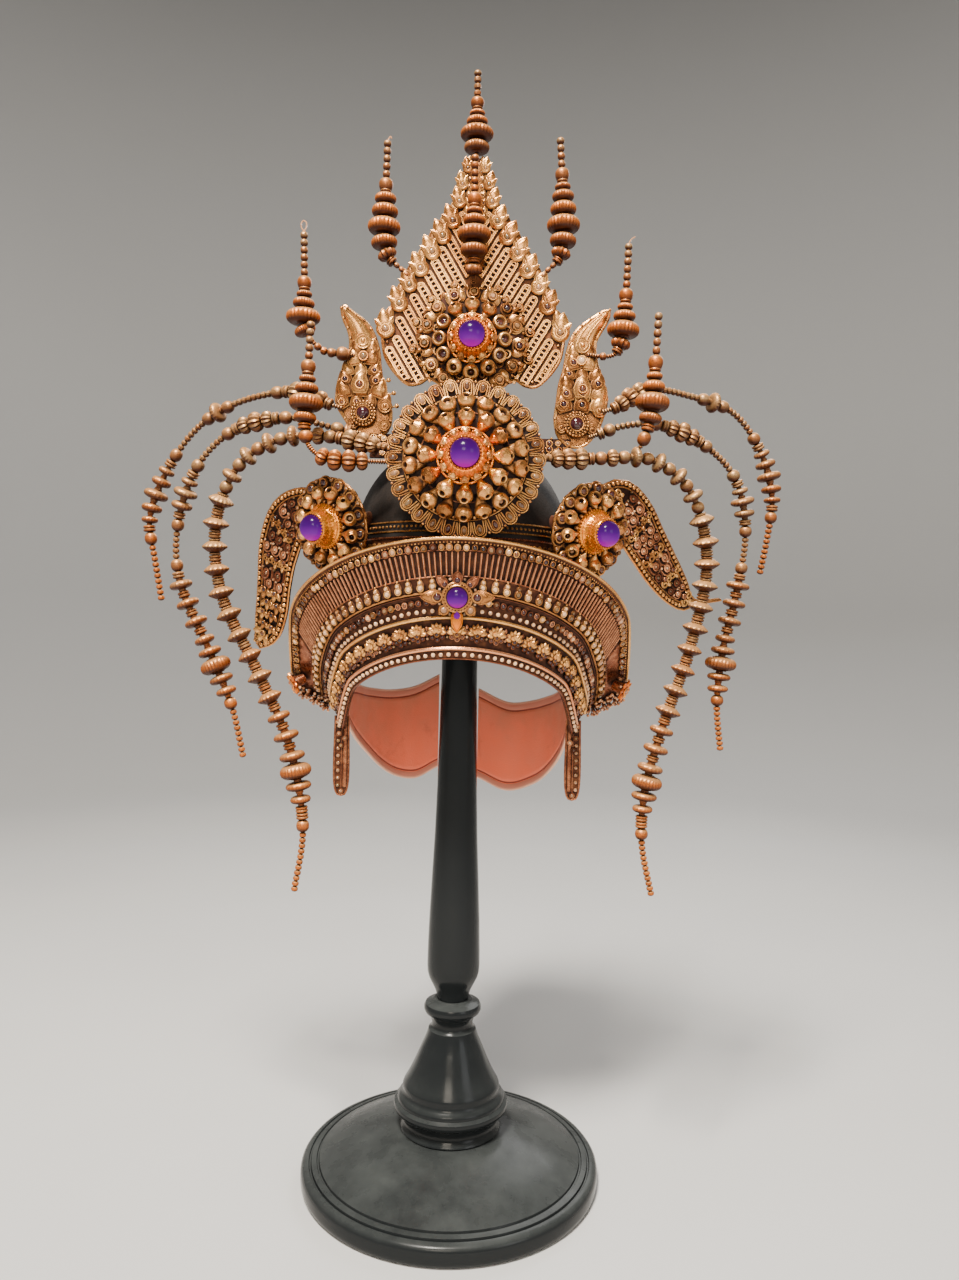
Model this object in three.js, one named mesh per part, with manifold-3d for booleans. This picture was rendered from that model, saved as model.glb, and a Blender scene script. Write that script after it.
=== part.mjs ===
// Apsara crown on its turned display stand.
// Millimetres, +Z up. The origin is the centre of the stand's underside and the front faces -Y.
// One rigid object: the stand carries a hollow cap, and the cap carries every ornament.
import * as THREE from "three";
import { mergeVertices } from "three/addons/utils/BufferGeometryUtils.js";
import Module from "manifold-3d";

const wasm = await Module();
wasm.setup();

// ---------------------------------------------------------------- driving dimensions
const GAP = 0.3; // clearance between pieces that touch

const CAP = {
  halfWidth: 77.5, // outside, across the ears
  halfLength: 94.5, // outside, brow to nape
  wall: 2,
  rimZ: 365, // mean height of the lower rim
  rimSlope: -0.074, // the rim rises towards the brow
  shoulderZ: 400, // the wall is upright below this height
  height: 108, // from the shoulder to the top
  fullness: 2.6, // exponent of the domed outline
  segments: 24,
};
const HOOP = { low: 420, high: 438, radius: 79.6 };

const BAND = {
  lowWidth: 80.1, // half axes of the lower edge, outside
  lowLength: 97.2,
  rimWidth: 115.5, // half axes of the flaring rim, outside
  rimLength: 108.5,
  lowZ: 366,
  rimZ: 436,
  lowFall: 50, // how far each edge falls from the brow to the ear
  rimFall: 60,
  flare: 1.6,
  wall: 2.5,
  height: 68, // register scale, along the face of the band
  endAngle: 96,
  steps: 26,
  templeFrom: 55, // the lower edge dips at the temple between these angles
  templeTo: 75,
  templeDip: 14,
  earFrom: 75, // and the band narrows at the ear between these
  earTo: 95,
  earLift: 20, // of the lower edge
  earDrop: 30, // of the rim
};
// section of the diadem band from the lower bead edge to the rim: height, relief
const BAND_SECTION = [
  [0, 1.2], [5.5, 1.4], [6, 0], [21, 0.4], [22, 1.8], [38, 0.8], [46, 1.8], [63, 0.6], [65, 2.2],
  [68, 1.6],
];

const SIDEBURN = { inner: 73, outer: 83, y: -20, thickness: 3, top: 322, tip: 268 };

// leather straps: angle from the brow, top edge, bottom edge
const STRAP = { halfWidth: 76.6, halfLength: 93.6, wall: 2 };
const STRAP_ROWS_LEFT = [
  [88, 342, 314], [102, 341, 303], [118, 337, 287], [138, 334, 268], [152, 336, 263.5], [166.7, 345, 271.5],
];
const STRAP_ROWS_RIGHT = [
  [88, 340, 314], [102, 340, 297], [118, 334, 277], [134, 328, 263], [151, 325, 255.5], [169.7, 334.5, 263.5],
];

// sections of the turned stand: radius, height
const BASE_ROWS = [
  [0, 0], [101.5, 0], [103, 2], [103, 11], [100.5, 14], [92, 15.5], [78, 22], [58, 29], [41, 34], [0, 34],
];
const FOOT_ROWS = [
  [0, 34.3], [35, 34.3], [33, 38], [33, 45], [39, 48.5], [40, 52], [37.5, 57], [33.5, 62], [33, 66],
  [25.5, 81], [18.5, 96], [16.5, 103], [14, 106], [15.5, 112.5], [19.5, 116], [19, 121], [13, 124],
  [0, 124],
];
const POLE_ROWS = [
  [11, 124.3], [12, 130], [17, 139], [18.3, 147], [17.6, 179], [14.8, 238], [12.5, 345],
];
const POLE_TOP = { radius: 12, drop: 2.2 }; // the flat end, and its drop below the inside of the cap

// round ornaments: middle of the back, outward yaw and downward tilt in degrees
const CENTRE = { x: 3, y: -97, z: 483, yaw: 0, tilt: 0 };
const UPPER = { x: 4.8, y: -56, z: 564, yaw: 0, tilt: 0 };
const SIDE = { x: 80.5, y: -62, z: 446, yaw: 35, tilt: 10 };
// petalled tiers: petal tip radius, inner radius, rise of the petals, petals
const TIERS = {
  centreOuter: { outer: 46.5, inner: 37, rise: 7, petals: 26 },
  centreMiddle: { outer: 36, inner: 27, rise: 7.7, petals: 18 },
  centreInner: { outer: 26, inner: 15.5, rise: 7.7, petals: 12 },
  upperOuter: { outer: 34.5, inner: 25, rise: 6, petals: 16 },
  upperInner: { outer: 24, inner: 14.5, rise: 7.5, petals: 12 },
  side: { outer: 31, inner: 15, rise: 7, petals: 14 },
  floret: { outer: 8.5, inner: 4, rise: 4, petals: 6 },
  rosette: { outer: 9, inner: 4, rise: 4, petals: 8 },
  star: { outer: 22, inner: 7.5, rise: 6, petals: 8 },
};
const SEAT = 0.7; // a tier's flat seat, as a part of its petals' rise
// cups and stones: radius, height
const CUPS = {
  centre: { radius: 14.5, height: 8 },
  upper: { radius: 13.5, height: 8 },
  side: { radius: 14, height: 12 },
};
const GEMS = {
  centre: { radius: 8.3, height: 8 },
  upper: { radius: 7.9, height: 7.5 },
  side: { radius: 7.9, height: 7.5 },
  star: { radius: 6, height: 6 },
};
const FLORET = { x: 112, y: -6, z: 343, yaw: 60, tilt: 25 };
// hidden posts behind the round ornaments, before they are cut back to what carries them
const POSTS = {
  radius: 8,
  centre: 60, // lengths
  floret: 6.8,
  wing: 34,
  wingInset: 11, // the post of an ear band stands nearer the middle than its medallion
};

const PANEL = {
  x: 5.3, // middle of the tall leaf
  back: -49,
  thickness: 3,
  topZ: 681.5,
  topHalf: 4,
  leafLow: 579, // height of the lowest leaf tip
  leafHigh: 674,
  leafLowHalf: 60, // half widths at those two tips
  leafHighHalf: 9,
  waist: 1.8, // how much the outline bows inwards half way between them
  leaves: 9,
  leafDepth: 6.5,
  ribs: 7,
  ribPitch: 10.5,
  ribWidth: 3.2,
  ribRise: 1.6,
  ribMargin: 6, // from the leaves to the end of a rail
  ribLength: 34, // of the longest rail
  ribSlope: 50, // degrees below the horizontal
  spineHalf: 13,
  spineLow: 484,
};
// lower outline of the panel, from the outer corner of a lobe to the middle: half width, height
const PANEL_LOBE = [[58, 562], [59, 553], [53, 543], [43, 536.5], [32, 539], [24, 532], [13, 530]];

const FLAME = { back: -59, thickness: 4 };
// flame plates, measured on each side: x, z
const FLAME_LEFT = [
  [-76.9, 584], [-69.3, 578.5], [-62.5, 574], [-57.4, 567], [-53.5, 556], [-52.5, 546], [-50.5, 535],
  [-46.6, 526], [-45, 515], [-47, 506], [-56, 501], [-68, 505], [-73.5, 513], [-78.5, 521], [-79, 531],
  [-77, 540], [-73, 549], [-71, 560], [-72.4, 568], [-75.6, 575],
];
const FLAME_RIGHT = [
  [90.8, 584], [76.6, 576.2], [68.6, 568], [65, 558], [63, 546], [60.5, 537], [59, 524], [58, 514],
  [62, 502], [74, 498], [83.5, 507], [88, 518], [90, 529], [87.5, 539], [83.5, 550], [81.9, 563],
  [84.5, 569], [88.5, 576],
];
// arms behind the centre medallion that carry the flames: inner end, outer end, height
const FLAME_ARMS = [
  { inner: -12, outer: -58, low: 489, high: 504 },
  { inner: 18, outer: 68, low: 489, high: 503 },
];
const ROSETTES = [{ x: -62, z: 515.8 }, { x: 71.2, z: 511.7 }];

// ear bands in the plane behind their side medallion: along, up, half width
const WING = { thickness: 2.5, discRadius: 21 };
const WING_LEFT = [
  [4, 4, 14], [22, 8, 17], [40, 3, 18], [52, -14, 17.5], [59, -34, 15.5], [65, -54, 14.5],
  [72, -68, 12], [83, -79, 4],
];
const WING_RIGHT = [
  [4, 8, 14], [22, 16, 18.5], [38, 9, 18], [54, -6, 16.5], [70, -21, 15], [86, -34, 12], [98, -42, 7.5],
  [108, -43, 2.4], [134, -40, 1.2],
];

// beads on the strings and spires: radius, width along the thread
const BEADS = {
  thread: [1.5, 1.5],
  tiny: [2, 3.2],
  spacer: [4, 4.2],
  ball: [4.1, 8],
  oval: [4.3, 7.2],
  melon: [5.6, 7],
  wideMelon: [6.6, 8.4],
  disc5: [5.4, 6.4],
  disc6: [6.6, 8],
  disc7: [7.6, 8.2],
  disc8: [8.2, 8.8],
  disc10: [10.1, 10],
  bicone: [8.1, 10],
};
const OUTER_STRING = [
  ["thread", 4], ["spacer", 1], ["melon", 1], ["wideMelon", 2], ["spacer", 1], ["ball", 1], ["tiny", 8],
  ["ball", 1], ["disc6", 1], ["ball", 1], ["tiny", 7], ["ball", 1], ["spacer", 1], ["disc5", 1],
  ["disc6", 1], ["disc8", 1], ["disc6", 1], ["disc5", 1], ["spacer", 1], ["ball", 1], ["tiny", 10],
];
const MIDDLE_STRING = [
  ["thread", 4], ["spacer", 1], ["ball", 1], ["tiny", 7], ["ball", 1], ["spacer", 1], ["melon", 1],
  ["wideMelon", 1], ["melon", 1], ["spacer", 1], ["ball", 1], ["tiny", 6], ["ball", 1], ["spacer", 1],
  ["disc5", 1], ["disc7", 1], ["disc6", 1], ["spacer", 1], ["ball", 1], ["tiny", 5], ["ball", 1],
  ["spacer", 1], ["disc7", 1], ["spacer", 1], ["disc7", 1], ["spacer", 1], ["disc7", 1], ["spacer", 1],
  ["disc6", 1], ["disc7", 1], ["disc10", 1], ["disc7", 1], ["disc6", 1], ["ball", 1], ["tiny", 9],
];
const INNER_STRING = [
  ["tiny", 4], ["melon", 1], ["wideMelon", 2], ["spacer", 1], ["ball", 1], ["melon", 1], ["ball", 1],
  ["disc6", 1], ["ball", 1], ["disc6", 1], ["ball", 1], ["disc6", 1], ["ball", 1], ["disc6", 1],
  ["ball", 1],
  ...Array.from({ length: 10 }, () => [["bicone", 1], ["spacer", 1]]).flat(),
  ["disc7", 1], ["spacer", 1], ["disc8", 1], ["spacer", 1], ["disc8", 1], ["disc10", 1], ["disc8", 1],
  ["disc6", 1], ["spacer", 2], ["ball", 1], ["tiny", 11],
];
// routes of the bead strings, from the crown to the hanging end
const STRINGS = [
  {
    name: "string_outer_left",
    beads: OUTER_STRING,
    route: [
      [-75, -65.6, 518.5], [-84, -66, 521], [-95, -62, 527], [-112, -57, 530], [-151, -41, 524],
      [-181, -25, 508], [-203, -20, 475], [-210, -20, 450], [-206, -20, 425], [-201, -20, 397],
    ],
  },
  {
    name: "string_middle_left",
    beads: MIDDLE_STRING,
    route: [
      [-63, -65.2, 503.5], [-70, -66, 504], [-85, -68, 507], [-106, -66, 512], [-143, -57, 506],
      [-169, -48, 485], [-184, -41, 448], [-184, -38, 412], [-164, -38, 366], [-148, -38, 328],
      [-140, -38, 295],
    ],
  },
  {
    name: "string_inner_left",
    beads: INNER_STRING,
    route: [
      [-37, -95, 488], [-44, -94, 489.5], [-57, -86, 493], [-81, -80, 498], [-108, -75, 498],
      [-137, -66, 484], [-154, -59, 450], [-152, -56, 404], [-129, -55, 355], [-107, -55, 307],
      [-97, -55, 252], [-102, -55, 212],
    ],
  },
  {
    name: "string_outer_right",
    beads: OUTER_STRING,
    route: [
      [87, -65.9, 519.5], [96, -66, 522.5], [106, -61, 531], [121, -54, 537], [142, -46, 536],
      [179, -29, 528], [200, -21, 503], [208, -20, 474], [205, -20, 445], [201, -20, 423],
    ],
  },
  {
    name: "string_middle_right",
    beads: MIDDLE_STRING,
    route: [
      [79, -65.2, 503.5], [86, -66, 506], [100, -66, 511], [124, -62, 513], [153, -54, 503],
      [176, -46, 483], [185, -41, 450], [181, -38, 410], [173, -38, 372], [170, -38, 337],
      [173, -38, 306],
    ],
  },
  {
    name: "string_inner_right",
    beads: INNER_STRING,
    route: [
      [42, -95, 485], [50, -93, 485.5], [67, -86, 486.5], [91, -83, 488], [116, -77, 489],
      [142, -69, 472], [156, -60, 430], [148, -55, 374], [132, -55, 324], [121, -55, 280],
      [120, -55, 248], [127, -55, 214],
    ],
  },
];
const STRETCHES = 3; // pieces along each string
const THREAD_RADIUS = 1.7; // tiny beads and spacers are one plain thread
const SMALL_BEADS = ["tiny", "thread", "spacer"];
const SHARP_BEADS = ["bicone", "ball", "melon", "disc5", "disc6", "disc7"]; // with a single edge

const SPIRE = [
  ["tiny", 1], ["disc6", 1], ["disc8", 1], ["disc10", 1], ["disc8", 1], ["disc7", 1], ["oval", 1],
  ["tiny", 6],
];
const TOP_SPIRE = [["disc8", 1], ["disc10", 1], ["disc6", 1], ["disc5", 1], ["oval", 1], ["tiny", 3]];
const BUD = [["thread", 10], ["melon", 1], ["wideMelon", 2], ["melon", 1], ["thread", 6], ["ball", 1]];
// bead spires, from the foot to the tip; the stem is the bare wire before the first bead
const SPIRES = [
  {
    name: "spire_top", stem: 0, beads: TOP_SPIRE,
    route: [[5.3, -50.5, 681.8], [5.2, -51, 709], [5, -52, 736]],
  },
  {
    name: "spire_front", stem: 1.5, beads: SPIRE,
    route: [[5, -59, 599.2], [5, -64, 604], [5, -66.5, 616], [4.8, -67, 650], [4.6, -67, 676]],
  },
  {
    name: "spire_inner_left", stem: 18, beads: SPIRE,
    route: [
      [-35, -53.6, 603.5], [-41, -54, 609.7], [-48, -54, 615], [-51.7, -54, 622], [-51.7, -54, 653],
      [-51, -54, 690],
    ],
  },
  {
    name: "spire_inner_right", stem: 18, beads: SPIRE,
    route: [
      [47, -53.6, 604.5], [52, -54, 611], [58, -54, 616.5], [60.7, -54, 624], [60.8, -54, 650],
      [58, -54, 694],
    ],
  },
  {
    name: "spire_middle_left", stem: 28, beads: SPIRE,
    route: [
      [-68, -64.5, 551.5], [-77.3, -66, 552.5], [-86.5, -66.5, 553], [-94.5, -67, 559.7],
      [-99.6, -67, 567], [-99.6, -67, 590], [-100.8, -66, 633],
    ],
  },
  {
    name: "spire_middle_right", stem: 18, beads: SPIRE,
    route: [
      [77, -64.5, 555], [86.7, -66, 553.8], [93.5, -66, 555], [97.6, -66, 562], [99.6, -66, 583],
      [101.1, -66, 624],
    ],
  },
  {
    name: "spire_outer_left", stem: 0, beads: [...BUD, ...SPIRE],
    route: [
      [-37, -94.2, 481], [-52, -94, 481.3], [-69, -95.5, 481], [-80, -96, 482], [-88, -96, 487],
      [-92.5, -95, 495], [-92.5, -94, 515], [-91.5, -93, 540], [-90.7, -92, 564],
    ],
  },
  {
    name: "spire_outer_right", stem: 0, beads: SPIRE,
    route: [[108.2, -83, 494.5], [111, -84, 501], [114, -84, 512], [116, -84, 540], [117.6, -84, 576]],
  },
];
const STRING_SIDES = 5;
const SPIRE_SIDES = 5;

// ---------------------------------------------------------------- materials
function metal(colour, roughness, metalness = 1) {
  return new THREE.MeshStandardMaterial({ color: colour, roughness, metalness });
}
const ANTIQUE_GOLD = metal("#b98a52", 0.42);
const COPPER_GOLD = metal("#a8693e", 0.45);
const BRIGHT_GOLD = metal("#e0953a", 0.3);
const BEAD_GOLD = metal("#b9794a", 0.5, 0.4);
const LACQUER = metal("#1d2021", 0.35, 0);
const LEATHER = metal("#c4705a", 0.6, 0);
const VIOLET = metal("#5a16c8", 0.08, 0);
const DARK_BRONZE = metal("#4a3524", 0.6, 0.8);

// ---------------------------------------------------------------- geometry helpers
const radians = THREE.MathUtils.degToRad;

function smooth(low, high, value) {
  return THREE.MathUtils.smoothstep(value, low, high);
}

// Vertices are merged, collapsed triangles dropped and the faces turned outwards.
function closed(geometry) {
  geometry.deleteAttribute("normal");
  geometry.deleteAttribute("uv");
  const merged = mergeVertices(geometry, 1e-3);
  const corner = merged.index.array;
  const triangles = [];
  for (let i = 0; i < corner.length; i += 3) {
    const [a, b, c] = [corner[i], corner[i + 1], corner[i + 2]];
    if (a !== b && b !== c && c !== a) {
      triangles.push([a, b, c]);
    }
  }
  const place = merged.attributes.position;
  const [p, q, r] = [new THREE.Vector3(), new THREE.Vector3(), new THREE.Vector3()];
  let volume = 0;
  for (const [a, b, c] of triangles) {
    p.fromBufferAttribute(place, a);
    q.fromBufferAttribute(place, b);
    r.fromBufferAttribute(place, c);
    volume += p.dot(q.cross(r));
  }
  const order = volume < 0 ? triangles.map(([a, b, c]) => [a, c, b]) : triangles;
  merged.setIndex(order.flat());
  return merged;
}

function toSolid(geometry) {
  const merged = geometry.index && !geometry.attributes.normal ? geometry : closed(geometry);
  return new wasm.Manifold(new wasm.Mesh({
    numProp: 3,
    vertProperties: new Float32Array(merged.attributes.position.array),
    triVerts: new Uint32Array(merged.index.array),
  }));
}

function toGeometry(solid) {
  const mesh = solid.getMesh();
  const geometry = new THREE.BufferGeometry();
  geometry.setAttribute("position", new THREE.BufferAttribute(mesh.vertProperties.slice(), 3));
  geometry.setIndex(Array.from(mesh.triVerts));
  return geometry;
}

// A solid of revolution about Z from rows of radius and height.
function turned(rows, segments) {
  const geometry = new THREE.LatheGeometry(rows.map(([r, z]) => new THREE.Vector2(r, z)), segments);
  geometry.rotateX(Math.PI / 2);
  return closed(geometry);
}

// Moves every vertex of a geometry through a function of its own place.
function reshape(geometry, move) {
  const place = geometry.attributes.position;
  const vertex = new THREE.Vector3();
  for (let i = 0; i < place.count; i += 1) {
    vertex.fromBufferAttribute(place, i);
    const moved = move(vertex);
    place.setXYZ(i, moved.x, moved.y, moved.z);
  }
  return closed(geometry);
}

// A plate in the XZ plane whose front faces -Y.
function uprightPlate(points, back, thickness) {
  const shape = new THREE.Shape(points.map(([x, z]) => new THREE.Vector2(x, z)));
  const geometry = new THREE.ExtrudeGeometry(shape, { depth: thickness, bevelEnabled: false, steps: 1 });
  geometry.rotateX(Math.PI / 2);
  geometry.translate(0, back, 0);
  return closed(geometry);
}

function block(low, high) {
  const size = high.map((value, axis) => value - low[axis]);
  const geometry = new THREE.BoxGeometry(...size);
  geometry.translate(...low.map((value, axis) => value + size[axis] / 2));
  return closed(geometry);
}

// A post along local Z between two heights.
function post(radius, low, high) {
  return turned([[0, low], [radius, low], [radius, high], [0, high]], 12);
}

// Local Z looks outwards, local Y up; side is -1 on the left and 1 on the right.
function facing({ x, y, z, yaw, tilt }, side = 1) {
  const outward = new THREE.Vector3(
    side * Math.sin(radians(yaw)) * Math.cos(radians(tilt)),
    -Math.cos(radians(yaw)) * Math.cos(radians(tilt)),
    -Math.sin(radians(tilt)),
  );
  const holder = new THREE.Object3D();
  holder.up.set(0, 0, 1);
  holder.position.set(side * x, y, z);
  holder.lookAt(holder.position.clone().add(outward));
  holder.updateMatrix();
  return holder.matrix.clone();
}

// ---------------------------------------------------------------- the cap and its hoop
function capRadius(z) {
  const rise = Math.max(0, z - CAP.shoulderZ) / CAP.height;
  return CAP.halfWidth * Math.max(0, 1 - rise ** CAP.fullness) ** (1 / CAP.fullness);
}

const CAP_HEIGHTS = [434, 466, 490, 503]; // rows of the domed part
const CAP_TOP = CAP.shoulderZ + CAP.height;

function oval(geometry) {
  geometry.scale(1, CAP.halfLength / CAP.halfWidth, 1);
  return geometry;
}

function capShell() {
  const outside = [[CAP.halfWidth, CAP.rimZ], [CAP.halfWidth, CAP.shoulderZ]];
  CAP_HEIGHTS.forEach((z) => outside.push([capRadius(z), z]));
  outside.push([0, CAP_TOP]);
  const inside = outside.slice(0, -1).map(([r, z], i) => {
    const drop = i > 1 ? CAP.wall * 0.5 : 0;
    return [r - CAP.wall - i * GAP, z - drop];
  });
  const rows = [[0, CAP_TOP - CAP.wall], ...inside.reverse(), ...outside];
  const shell = oval(turned(rows, CAP.segments));
  return reshape(shell, ({ x, y, z }) => {
    const fade = THREE.MathUtils.clamp((CAP.shoulderZ - z) / (CAP.shoulderZ - CAP.rimZ), 0, 1);
    return new THREE.Vector3(x, y, z + fade * CAP.rimSlope * y);
  });
}

function hoop() {
  const { low, high, radius } = HOOP;
  const rows = [
    [capRadius(low) + GAP, low], [radius, low], [radius, high], [capRadius(high) + 3 * GAP, high],
    [capRadius(low) + GAP, low],
  ];
  return oval(turned(rows, CAP.segments));
}

// Everything that is mounted on the cap is cut back by this body, a gap larger than cap and hoop.
function capAndHoopRoom() {
  const rows = [
    [0, CAP.rimZ - 40], [CAP.halfWidth + GAP, CAP.rimZ - 40], [CAP.halfWidth + GAP, HOOP.low - GAP],
    [HOOP.radius + GAP, HOOP.low - GAP], [HOOP.radius + GAP, HOOP.high + GAP],
  ];
  const above = CAP_HEIGHTS.filter((z) => z > HOOP.high + GAP);
  rows.push([capRadius(HOOP.high) + GAP * 4, HOOP.high + GAP]);
  above.forEach((z) => rows.push([capRadius(z) + GAP, z + GAP]));
  rows.push([0, CAP_TOP + GAP]);
  return toSolid(oval(turned(rows, CAP.segments)));
}

// ---------------------------------------------------------------- the diadem band
// A place on the band: angle from the brow in degrees, height in the section, relief outwards.
function bandPoint(angle, height, relief) {
  const turn = radians(angle);
  const across = Math.sin(turn);
  const ahead = Math.cos(turn);
  const share = height / BAND.height;
  const flare = Math.max(0, share) ** BAND.flare;
  const ear = smooth(BAND.earFrom, BAND.earTo, Math.abs(angle));
  const temple = smooth(BAND.templeFrom, BAND.templeTo, Math.abs(angle));
  const low = BAND.lowZ - BAND.lowFall * (1 - ahead) - BAND.templeDip * temple + BAND.earLift * ear;
  const rim = BAND.rimZ - BAND.rimFall * (1 - ahead) - BAND.earDrop * ear;
  const width = BAND.lowWidth + (BAND.rimWidth - BAND.lowWidth) * flare + relief;
  const length = BAND.lowLength + (BAND.rimLength - BAND.lowLength) * flare + relief;
  return new THREE.Vector3(width * across, -length * ahead, low + (rim - low) * share);
}

function sideburn(side) {
  const { inner, outer, y, thickness, top, tip } = SIDEBURN;
  const points = [
    [inner, top], [inner, tip + 6], [inner + 2.5, tip], [outer - 2.5, tip], [outer, tip + 6], [outer, top],
  ];
  return toSolid(uprightPlate(points.map(([x, z]) => [side * x, z]), y + thickness / 2, thickness));
}

// The band alone, thickened all round by a margin.
function bandSolid(margin) {
  const outside = BAND_SECTION.map(([height, relief]) => [height, relief + margin]);
  outside[0][0] -= margin;
  outside.at(-1)[0] += margin;
  const back = -BAND.wall - margin;
  const inside = [[BAND.height + margin, back], [BAND.height * 0.4, back], [-margin, back]];
  const outline = [...outside, ...inside];
  const shape = new THREE.Shape(outline.map(([height, relief]) => new THREE.Vector2(height, relief)));
  const straight = new THREE.ExtrudeGeometry(shape, { depth: 1, bevelEnabled: false, steps: BAND.steps });
  const band = reshape(straight, ({ x, y, z }) => bandPoint((2 * z - 1) * BAND.endAngle, x, y));
  return toSolid(band);
}

function diadem(room) {
  return bandSolid(0).subtract(room).add(sideburn(-1)).add(sideburn(1));
}

// ---------------------------------------------------------------- the leather straps
function strap(rows, side) {
  const spans = rows.length - 1;
  const straight = new THREE.BoxGeometry(1, 1, 1, spans * 2, 1, 1);
  return reshape(straight, ({ x, y, z }) => {
    const place = (x + 0.5) * spans;
    const row = Math.min(Math.floor(place + 1e-6), spans - 1);
    const share = place - row;
    const [angle, top, bottom] = rows[row].map((value, i) => value + (rows[row + 1][i] - value) * share);
    const depth = (z - 0.5) * STRAP.wall;
    const turn = radians(angle);
    return new THREE.Vector3(
      side * (STRAP.halfWidth + depth) * Math.sin(turn),
      -(STRAP.halfLength + depth) * Math.cos(turn),
      bottom + (top - bottom) * (y + 0.5),
    );
  });
}

// ---------------------------------------------------------------- round ornaments
// A tier of petals: every second column of the turned disc is a valley between two petals.
function petalTier({ outer, inner, rise, petals }, back = 0) {
  const seat = back + rise * SEAT;
  const crest = (outer + inner) / 2;
  const rows = [
    [0, back], [outer, back], [outer, back + rise * 0.55], [crest, back + rise], [inner, seat], [0, seat],
  ];
  const disc = turned(rows, petals * 2);
  return reshape(disc, (vertex) => {
    const radius = Math.hypot(vertex.x, vertex.y);
    const column = Math.round((Math.atan2(vertex.y, vertex.x) - Math.PI / 2) / (Math.PI / petals));
    if (column % 2 === 0 || radius < crest * 0.99) {
      return vertex;
    }
    const shrink = radius > outer * 0.97 ? 0.92 : 1;
    const height = radius < outer * 0.97 ? seat : Math.min(vertex.z, back + rise * 0.4);
    return new THREE.Vector3(vertex.x * shrink, vertex.y * shrink, height);
  });
}

function cup({ radius, height }, back) {
  const rows = [
    [0, back], [radius, back], [radius * 0.92, back + height * 0.45], [radius * 0.66, back + height],
    [0, back + height],
  ];
  return turned(rows, 12);
}

function gem({ radius, height }, back) {
  const rows = [
    [0, back], [radius, back], [radius, back + height * 0.2], [radius * 0.7, back + height * 0.75],
    [0, back + height],
  ];
  return turned(rows, 10);
}

// Height of the flat seat in the middle of a tier, with the clearance of what sits on it.
function seatOn(tier, back = 0) {
  return back + tier.rise * SEAT + GAP;
}

// A local solid is cut by bodies given in the object's own frame.
function cutBack(solid, matrix, rooms) {
  const world = toSolid(toGeometry(solid).applyMatrix4(matrix));
  const cut = rooms.reduce((body, room) => body.subtract(room), world);
  return toGeometry(cut).applyMatrix4(matrix.clone().invert());
}

// A tier with a post behind it, cut back to the pieces that carry it.
function seatedTier(tier, matrix, depth, ...rooms) {
  const stem = toSolid(post(Math.min(POSTS.radius, tier.inner), -depth, 1));
  return cutBack(toSolid(petalTier(tier)).add(stem), matrix, rooms);
}

// ---------------------------------------------------------------- the tall panel
function panelHalfWidth(z) {
  const share = (z - PANEL.leafLow) / (PANEL.leafHigh - PANEL.leafLow);
  const straight = PANEL.leafLowHalf + (PANEL.leafHighHalf - PANEL.leafLowHalf) * share;
  return straight - PANEL.waist * 4 * share * (1 - share);
}

function panelHalfOutline() {
  const pitch = (PANEL.leafHigh - PANEL.leafLow) / (PANEL.leaves - 1);
  const outline = PANEL_LOBE.slice().reverse();
  for (let leaf = 0; leaf < PANEL.leaves; leaf += 1) {
    const z = PANEL.leafLow + leaf * pitch;
    const tip = panelHalfWidth(z);
    const depth = PANEL.leafDepth * Math.min(1, tip / 20);
    outline.push([tip - 1 - depth * 0.1, z - pitch * 0.55]);
    outline.push([tip + 0.6, z + 1]);
    outline.push([tip - depth, z + 2]);
  }
  outline.push([PANEL.topHalf, PANEL.topZ]);
  return outline;
}

// Raised rails run from the leaves down to the middle, at the same slope on both sides.
function panelRibs(side) {
  const inwards = Math.cos(radians(PANEL.ribSlope));
  const down = Math.sin(radians(PANEL.ribSlope));
  const ribs = [];
  for (let rib = 0; rib < PANEL.ribs; rib += 1) {
    const z = PANEL.leafLow + (rib - 0.75) * PANEL.ribPitch;
    const start = panelHalfWidth(z) - PANEL.leafDepth - PANEL.ribMargin;
    const length = Math.min(start / inwards - PANEL.ribWidth, PANEL.ribLength);
    const bar = new THREE.BoxGeometry(PANEL.ribWidth, PANEL.ribRise * 2, length);
    bar.rotateY(side * radians(90 - PANEL.ribSlope));
    bar.translate(
      PANEL.x + side * (start - (inwards * length) / 2),
      PANEL.back - PANEL.thickness,
      z - (down * length) / 2,
    );
    ribs.push(toSolid(bar));
  }
  return ribs;
}

function panel(room) {
  const half = panelHalfOutline();
  const right = half.map(([w, z]) => [PANEL.x + w, z]);
  const left = half.map(([w, z]) => [PANEL.x - w, z]).reverse();
  let body = toSolid(uprightPlate([...right, ...left], PANEL.back, PANEL.thickness));
  const spine = block(
    [PANEL.x - PANEL.spineHalf, PANEL.back - PANEL.thickness, PANEL.spineLow],
    [PANEL.x + PANEL.spineHalf, PANEL.back, PANEL_LOBE.at(-1)[1] + 6],
  );
  body = body.add(toSolid(spine));
  [...panelRibs(-1), ...panelRibs(1)].forEach((rib) => {
    body = body.add(rib);
  });
  return body.subtract(room);
}

// ---------------------------------------------------------------- flames and ear bands
function flame(outline, arm, room) {
  const plate = toSolid(uprightPlate(outline, FLAME.back, FLAME.thickness));
  const low = [Math.min(arm.inner, arm.outer), FLAME.back - FLAME.thickness, arm.low];
  const high = [Math.max(arm.inner, arm.outer), FLAME.back, arm.high];
  return plate.add(toSolid(block(low, high))).subtract(room);
}

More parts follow.
